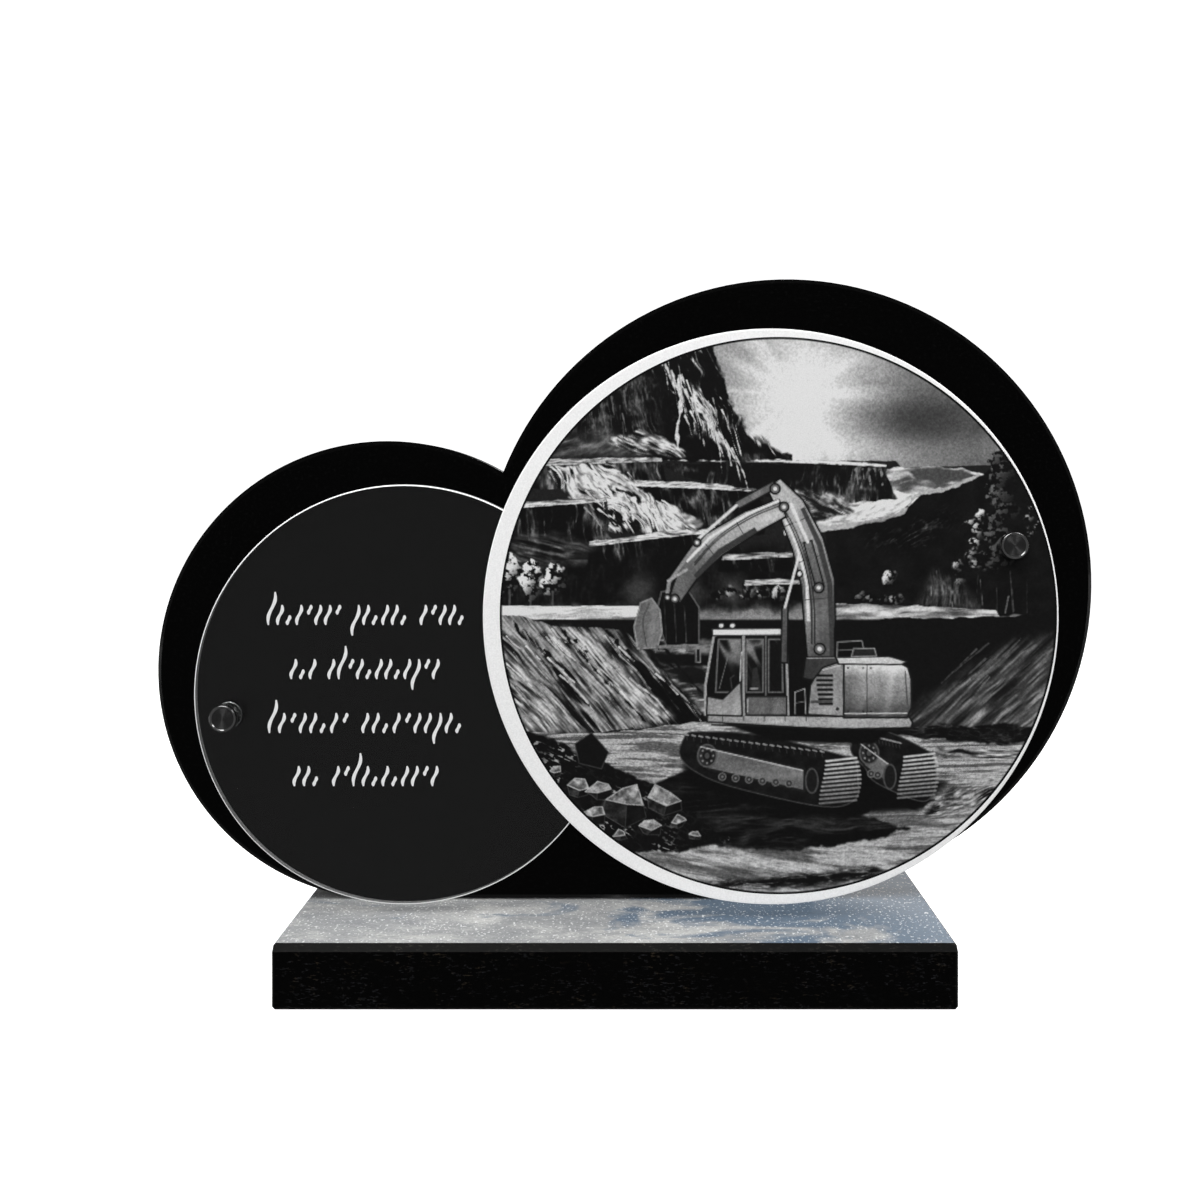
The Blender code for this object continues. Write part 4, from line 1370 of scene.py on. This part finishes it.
def make_picture(material, hole):
    """The engraved picture as four fine layers, with its tones on their points."""
    centre = picture_centre()
    front = LARGE_LOW.y - LAYER_FRONT
    for turn, name in enumerate(("upper_right", "upper_left", "lower_left", "lower_right")):
        u, v, faces = quarter_disc(turn, PICTURE_CELLS)
        x = centre.x + PICTURE_RADIUS * u
        z = centre.z + PICTURE_RADIUS * v
        middle_x = x[faces].mean(axis=1)
        middle_z = z[faces].mean(axis=1)
        faces = faces[np.hypot(middle_x - hole.x, middle_z - hole.z) > LAYER_HOLE]
        used, packed = np.unique(faces, return_inverse=True)
        u, v, x, z = u[used], v[used], x[used], z[used]
        faces = packed.reshape(-1, 4)
        vertices = np.stack([x, np.full(x.shape, front), z], axis=1)
        mesh = bpy.data.meshes.new(f"picture_{name}")
        mesh.from_pydata(vertices.tolist(), [], faces.tolist())
        mesh.update()
        close_layer(mesh, front, LARGE_LOW.y - LAYER_BACK)
        spots = np.empty(len(mesh.vertices) * 3)
        mesh.vertices.foreach_get("co", spots)
        spots = spots.reshape(-1, 3)
        across = (spots[:, 0] - centre.x) / PICTURE_RADIUS
        upward = (spots[:, 2] - centre.z) / PICTURE_RADIUS
        light = to_light(paint_all(across, upward))
        colours = np.stack([light, light, light, np.ones(light.shape)], axis=1)
        mesh.attributes.new("Tone", "FLOAT_COLOR", "POINT").data.foreach_set("color", colours.ravel())
        lay_out(mesh)
        mesh.materials.append(material)
        quarter = add_piece(f"picture_{name}", mesh)
        quarter.visible_shadow = False


def nib_width(direction):
    """A broad nib's mark is thick across its edge and thin along it."""
    return NIB_THIN + (NIB_THICK - NIB_THIN) * abs(math.sin(direction - NIB_ANGLE))


def ribbon(points):
    """The outline of one pen stroke through its points, tapered at both ends: a left and a right side."""
    left, right = [], []
    last = len(points) - 1
    for i, point in enumerate(points):
        before = points[max(i - 1, 0)]
        after = points[min(i + 1, last)]
        direction = math.atan2(after[1] - before[1], after[0] - before[0])
        taper = min(1.0, STROKE_TIP + STROKE_TAPER * min(i, last - i) / last)
        half = nib_width(direction) / 2 * taper
        across = (-math.sin(direction) * half, math.cos(direction) * half)
        left.append((point[0] + across[0], point[1] + across[1]))
        right.append((point[0] - across[0], point[1] - across[1]))
    return left, right


def leaf(x, low, high, sway=0.0006):
    """A slanted stroke with a slight double bend."""
    points = []
    for i in range(STROKE_POINTS + 1):
        t = i / STROKE_POINTS
        z = low + (high - low) * t
        points.append((x + SLANT * (z - low) - sway * math.sin(2 * math.pi * t), z))
    return points


# Each mark is one pen stroke, from its place along the row and the height of the row's baseline
MARKS = {
    "/": lambda x, z: leaf(x, z, z + X_HEIGHT),
    "|": lambda x, z: leaf(x, z, z + TALL_HEIGHT, 0.0008),
    "j": lambda x, z: leaf(x - 0.0010, z - DEEP_FOOT, z + X_HEIGHT, 0.0008),
    ",": lambda x, z: leaf(x, z, z + 0.48 * X_HEIGHT, 0.0003),
    "'": lambda x, z: leaf(x + 0.0010, z + 0.52 * X_HEIGHT, z + X_HEIGHT, 0.0003),
}

# Each row: its left and right ends and its baseline from the small disc's centre, and its marks
INSCRIPTION = (
    (-0.0646, 0.0296, 0.0327, "|/,/'//' j/,//, /'//,"),
    (-0.0538, 0.0174, 0.0073, "/,/ /|'/,//,/j'/"),
    (-0.0642, 0.0287, -0.0180, "|/'//,/' //,/'//j/,"),
    (-0.0524, 0.0170, -0.0429, "//, /'|/,/,//'/"),
)


def make_inscription(material):
    """Four rows of frosted pen strokes. They are marks, not letters."""
    front = SMALL_LOW.y - LAYER_FRONT
    back = SMALL_LOW.y - LAYER_BACK
    for row, (left_end, right_end, baseline, marks) in enumerate(INSCRIPTION, 1):
        step = (right_end - left_end) / len(marks)
        vertices, faces = [], []
        for place, mark in enumerate(marks):
            if mark == " ":
                continue
            left, right = ribbon(MARKS[mark](left_end + (place + 0.25) * step, baseline))
            first = len(vertices)
            count = len(left)
            under = 2 * count
            for y in (front, back):
                vertices += [(SMALL_CENTRE.x + px, y, SMALL_CENTRE.z + pz) for px, pz in left + right]
            for i in range(count - 1):
                l0, l1, r0, r1 = first + i, first + i + 1, first + count + i, first + count + i + 1
                faces.append((l0, l1, r1, r0))
                faces.append((l0 + under, r0 + under, r1 + under, l1 + under))
                faces.append((l0, l0 + under, l1 + under, l1))
                faces.append((r0, r1, r1 + under, r0 + under))
            for left_tip, right_tip in ((first, first + count), (first + count - 1, first + 2 * count - 1)):
                faces.append((left_tip, right_tip, right_tip + under, left_tip + under))
        mesh = mesh_of(f"inscription_row_{row}", vertices, faces)
        bm = bmesh.new()
        bm.from_mesh(mesh)
        bmesh.ops.recalc_face_normals(bm, faces=bm.faces)
        bm.to_mesh(mesh)
        bm.free()
        mesh.materials.append(material)
        strokes = add_piece(f"inscription_row_{row}", mesh)
        # The plate would mirror the strokes' backs, and the glass would show that second image.
        strokes.visible_transmission = False


def turned(name, profile, place, materials, replaced, face_steps=0):
    """Turns a profile of radius and distance in front of its place into a closed mesh.

    Its first steps, counted by face_steps, take the second material.
    """
    bm = bmesh.new()
    rings = []
    for radius, ahead in profile:
        y = place.y - ahead
        if radius == 0.0:
            rings.append([bm.verts.new((place.x, y, place.z))])
        else:
            rings.append([bm.verts.new(p) for p in ring_points(place, radius, y, TURNED_SEGMENTS)])
    pairs = list(zip(rings, rings[1:]))
    if profile[0][0] > 0.0:
        pairs.append((rings[-1], rings[0]))
    for step, (first, second) in enumerate(pairs):
        for i in range(TURNED_SEGMENTS):
            j = (i + 1) % TURNED_SEGMENTS
            corners = (
                first[i % len(first)], first[j % len(first)], second[j % len(second)],
                second[i % len(second)],
            )
            face = bm.faces.new(list(dict.fromkeys(corners)))
            face.smooth = True
            face.material_index = 1 if step < face_steps else 0
    mesh = mesh_from(bm, name, 40)
    for material in materials:
        mesh.materials.append(material)
    return add_piece(name, mesh, replaced)


def rounded(radius, ahead, edge, steps, towards_front):
    """Points of a rounded outer edge, from a face out to the side.

    Towards_front is 1 at a front face and -1 at a back one.
    """
    points = []
    for i in range(steps + 1):
        a = math.pi / 2 * i / steps
        points.append(
            (radius - edge + edge * math.sin(a), ahead + towards_front * (edge * math.cos(a) - edge))
        )
    return points


def make_standoff(side):
    """The finer cap and barrel of one standoff, over their solids."""
    low, high = corners_of(f"{side}_standoff_cap")
    radius = (high.x - low.x) / 2
    face = Vector(((low.x + high.x) / 2, low.y, (low.z + high.z) / 2))
    dish = radius - CAP_LAND
    under = -CAP_THICKNESS
    back = -(high.y - low.y)
    profile = [(0.0, -DISH_DEPTH), (dish - DISH_WALL, -DISH_DEPTH), (dish, 0.0)]
    profile += rounded(radius, 0.0, CAP_EDGE, CAP_EDGE_STEPS, 1)
    groove = under * GROOVE_PLACE
    profile += [(radius, groove + GROOVE), (radius - GROOVE, groove), (radius, groove - GROOVE)]
    profile += [(radius, under + GROOVE), (radius - GROOVE, under), (STUD_RADIUS, under)]
    profile += [(STUD_RADIUS, back), (0.0, back)]
    chrome = metal_material(f"{side}_chrome")
    metals = (chrome, metal_material(f"{side}_cap_face", tuple(face)))
    turned(f"{side}_cap_turned", profile, face, metals, (f"{side}_standoff_cap",), 1)

    low, high = corners_of(f"{side}_standoff_barrel")
    radius = (high.x - low.x) / 2
    seat = Vector(((low.x + high.x) / 2, low.y, (low.z + high.z) / 2))
    length = high.y - low.y
    profile = [(BARREL_BORE, 0.0)] + rounded(radius, 0.0, BARREL_EDGE, BARREL_EDGE_STEPS, 1)
    profile += rounded(radius, -length, BARREL_EDGE, BARREL_EDGE_STEPS, -1)[::-1]
    profile += [(BARREL_BORE, -length)]
    turned(f"{side}_barrel_turned", profile, seat, (chrome,), (f"{side}_standoff_barrel",))


def make_camera():
    """A level camera, shifted so that its vanishing point is where the photograph has it."""
    data = bpy.data.cameras.new("camera")
    data.sensor_width = SENSOR_WIDTH
    data.lens = PHOTO_FOCAL / PHOTO_SIDE * SENSOR_WIDTH
    data.shift_x = (PHOTO_SIDE / 2 - VANISHING_X) / PHOTO_SIDE
    data.shift_y = (VANISHING_Y - PHOTO_SIDE / 2) / PHOTO_SIDE
    data.clip_end = 20.0
    camera = link(bpy.data.objects.new("camera", data))
    camera.location = (CAMERA_X, BASE_FRONT - CAMERA_REACH, CAMERA_HEIGHT)
    camera.rotation_euler = (math.radians(90), 0.0, 0.0)
    bpy.context.scene.camera = camera


def area_light(name, place, target, size, power, unseen):
    """A soft lamp that points at its target. The rays named as unseen don't meet it."""
    data = bpy.data.lights.new(name, "AREA")
    data.shape = "RECTANGLE"
    data.size, data.size_y = size
    data.energy = power
    lamp = link(bpy.data.objects.new(name, data))
    lamp.location = place
    lamp.rotation_euler = (Vector(target) - Vector(place)).to_track_quat("-Z", "Y").to_euler()
    for ray in unseen:
        setattr(lamp, f"visible_{ray}", False)


def make_stage():
    """A plain pale floor that rises into a round backdrop."""
    turns = STAGE_TURNS
    profile = [(0.0, 0.0), (FLOOR_REACH, 0.0)]
    for i in range(1, BEND_STEPS + 1):
        a = math.pi / 2 * i / BEND_STEPS
        outward, upward = BACKDROP_BEND * math.sin(a), BACKDROP_BEND * (1.0 - math.cos(a))
        profile.append((FLOOR_REACH + outward, upward))
    profile.append((FLOOR_REACH + BACKDROP_BEND, BACKDROP_HEIGHT))
    n = Nodes("studio_white")
    n.set(Base_Color=(0.9, 0.9, 0.9, 1.0), Roughness=0.9, Specular_IOR_Level=0.0)
    n.set(Emission_Color=(1.0, 1.0, 1.0, 1.0), Emission_Strength=1.0)
    vertices = []
    for reach, z in profile:
        for i in range(turns):
            a = 2 * math.pi * i / turns
            vertices.append((reach * math.cos(a), reach * math.sin(a), z - FLOOR_GAP))
    # The glass would mirror the floor and what lies before it, so only the rest shows through it.
    # The stone's back mirrors the floor behind it.
    parts = {"studio_floor": [], "studio_floor_behind": [], "studio_front": [], "studio_back": []}
    for ring in range(len(profile) - 1):
        for i in range(turns):
            j = (i + 1) % turns
            low, high = ring * turns, (ring + 1) * turns
            backward = math.sin(2 * math.pi * (i + 0.5) / turns)
            if ring == 0:
                name = "studio_floor_behind" if backward > FLOOR_BEHIND else "studio_floor"
            else:
                name = "studio_back" if backward > WALL_BEHIND else "studio_front"
            parts[name].append((low + i, low + j, high + j, high + i))
    for name, faces in parts.items():
        sweep = link(bpy.data.objects.new(name, mesh_of(name, vertices, faces)))
        sweep.data.materials.append(n.material)
        sweep.visible_glossy = name == "studio_floor_behind"
        sweep.visible_diffuse = False
        sweep.visible_transmission = name == "studio_back"


def make_light():
    """An even dim world and soft lamps."""
    world = bpy.data.worlds.new("studio")
    world.use_nodes = True
    background = world.node_tree.nodes["Background"]
    background.inputs["Color"].default_value = (1.0, 1.0, 1.0, 1.0)
    background.inputs["Strength"].default_value = WORLD_LIGHT
    bpy.context.scene.world = world
    for name, settings in LAMPS.items():
        area_light(name, *settings)
    bpy.context.scene.view_settings.view_transform = "Standard"


def dress_stone():
    """Gives the base and the plate their stone. Their solids stay as they are."""
    base = frame["nodes"]["base_block"]
    base.data.materials[0] = base_material()
    # The pale top would mirror in the plate and the glass, which stay dark in the photograph.
    base.visible_glossy = False
    frame["nodes"]["back_plate"].data.materials[0] = plate_material()


def hole_of(side):
    """The middle of the hole that a standoff goes through."""
    low, high = corners_of(f"{side}_standoff_cap")
    return (low + high) / 2


def make_discs():
    """Both glass discs with their marks."""
    clear = glass_material()
    white_frost = frost_material("white_frost", 0.80)
    # The front arris takes a lighter copy of the white frost: painted brightness that makes up for the less
    # light its slope gets
    finishes = (clear, frost_material("edge_frost", 0.95), ground_edge_material())
    left, right = hole_of("left"), hole_of("right")
    make_glass("small_disc_glass", "small_glass_disc", SMALL_CENTRE, SMALL_RADIUS, left, finishes)
    make_glass("large_disc_glass", "large_glass_disc", LARGE_CENTRE, LARGE_RADIUS, right, finishes)
    make_border(white_frost)
    make_picture(picture_material(), right)
    make_inscription(frost_material("stroke_frost", 0.74))


make_camera()
make_stage()
make_light()
dress_stone()
make_discs()
for side in ("left", "right"):
    make_standoff(side)
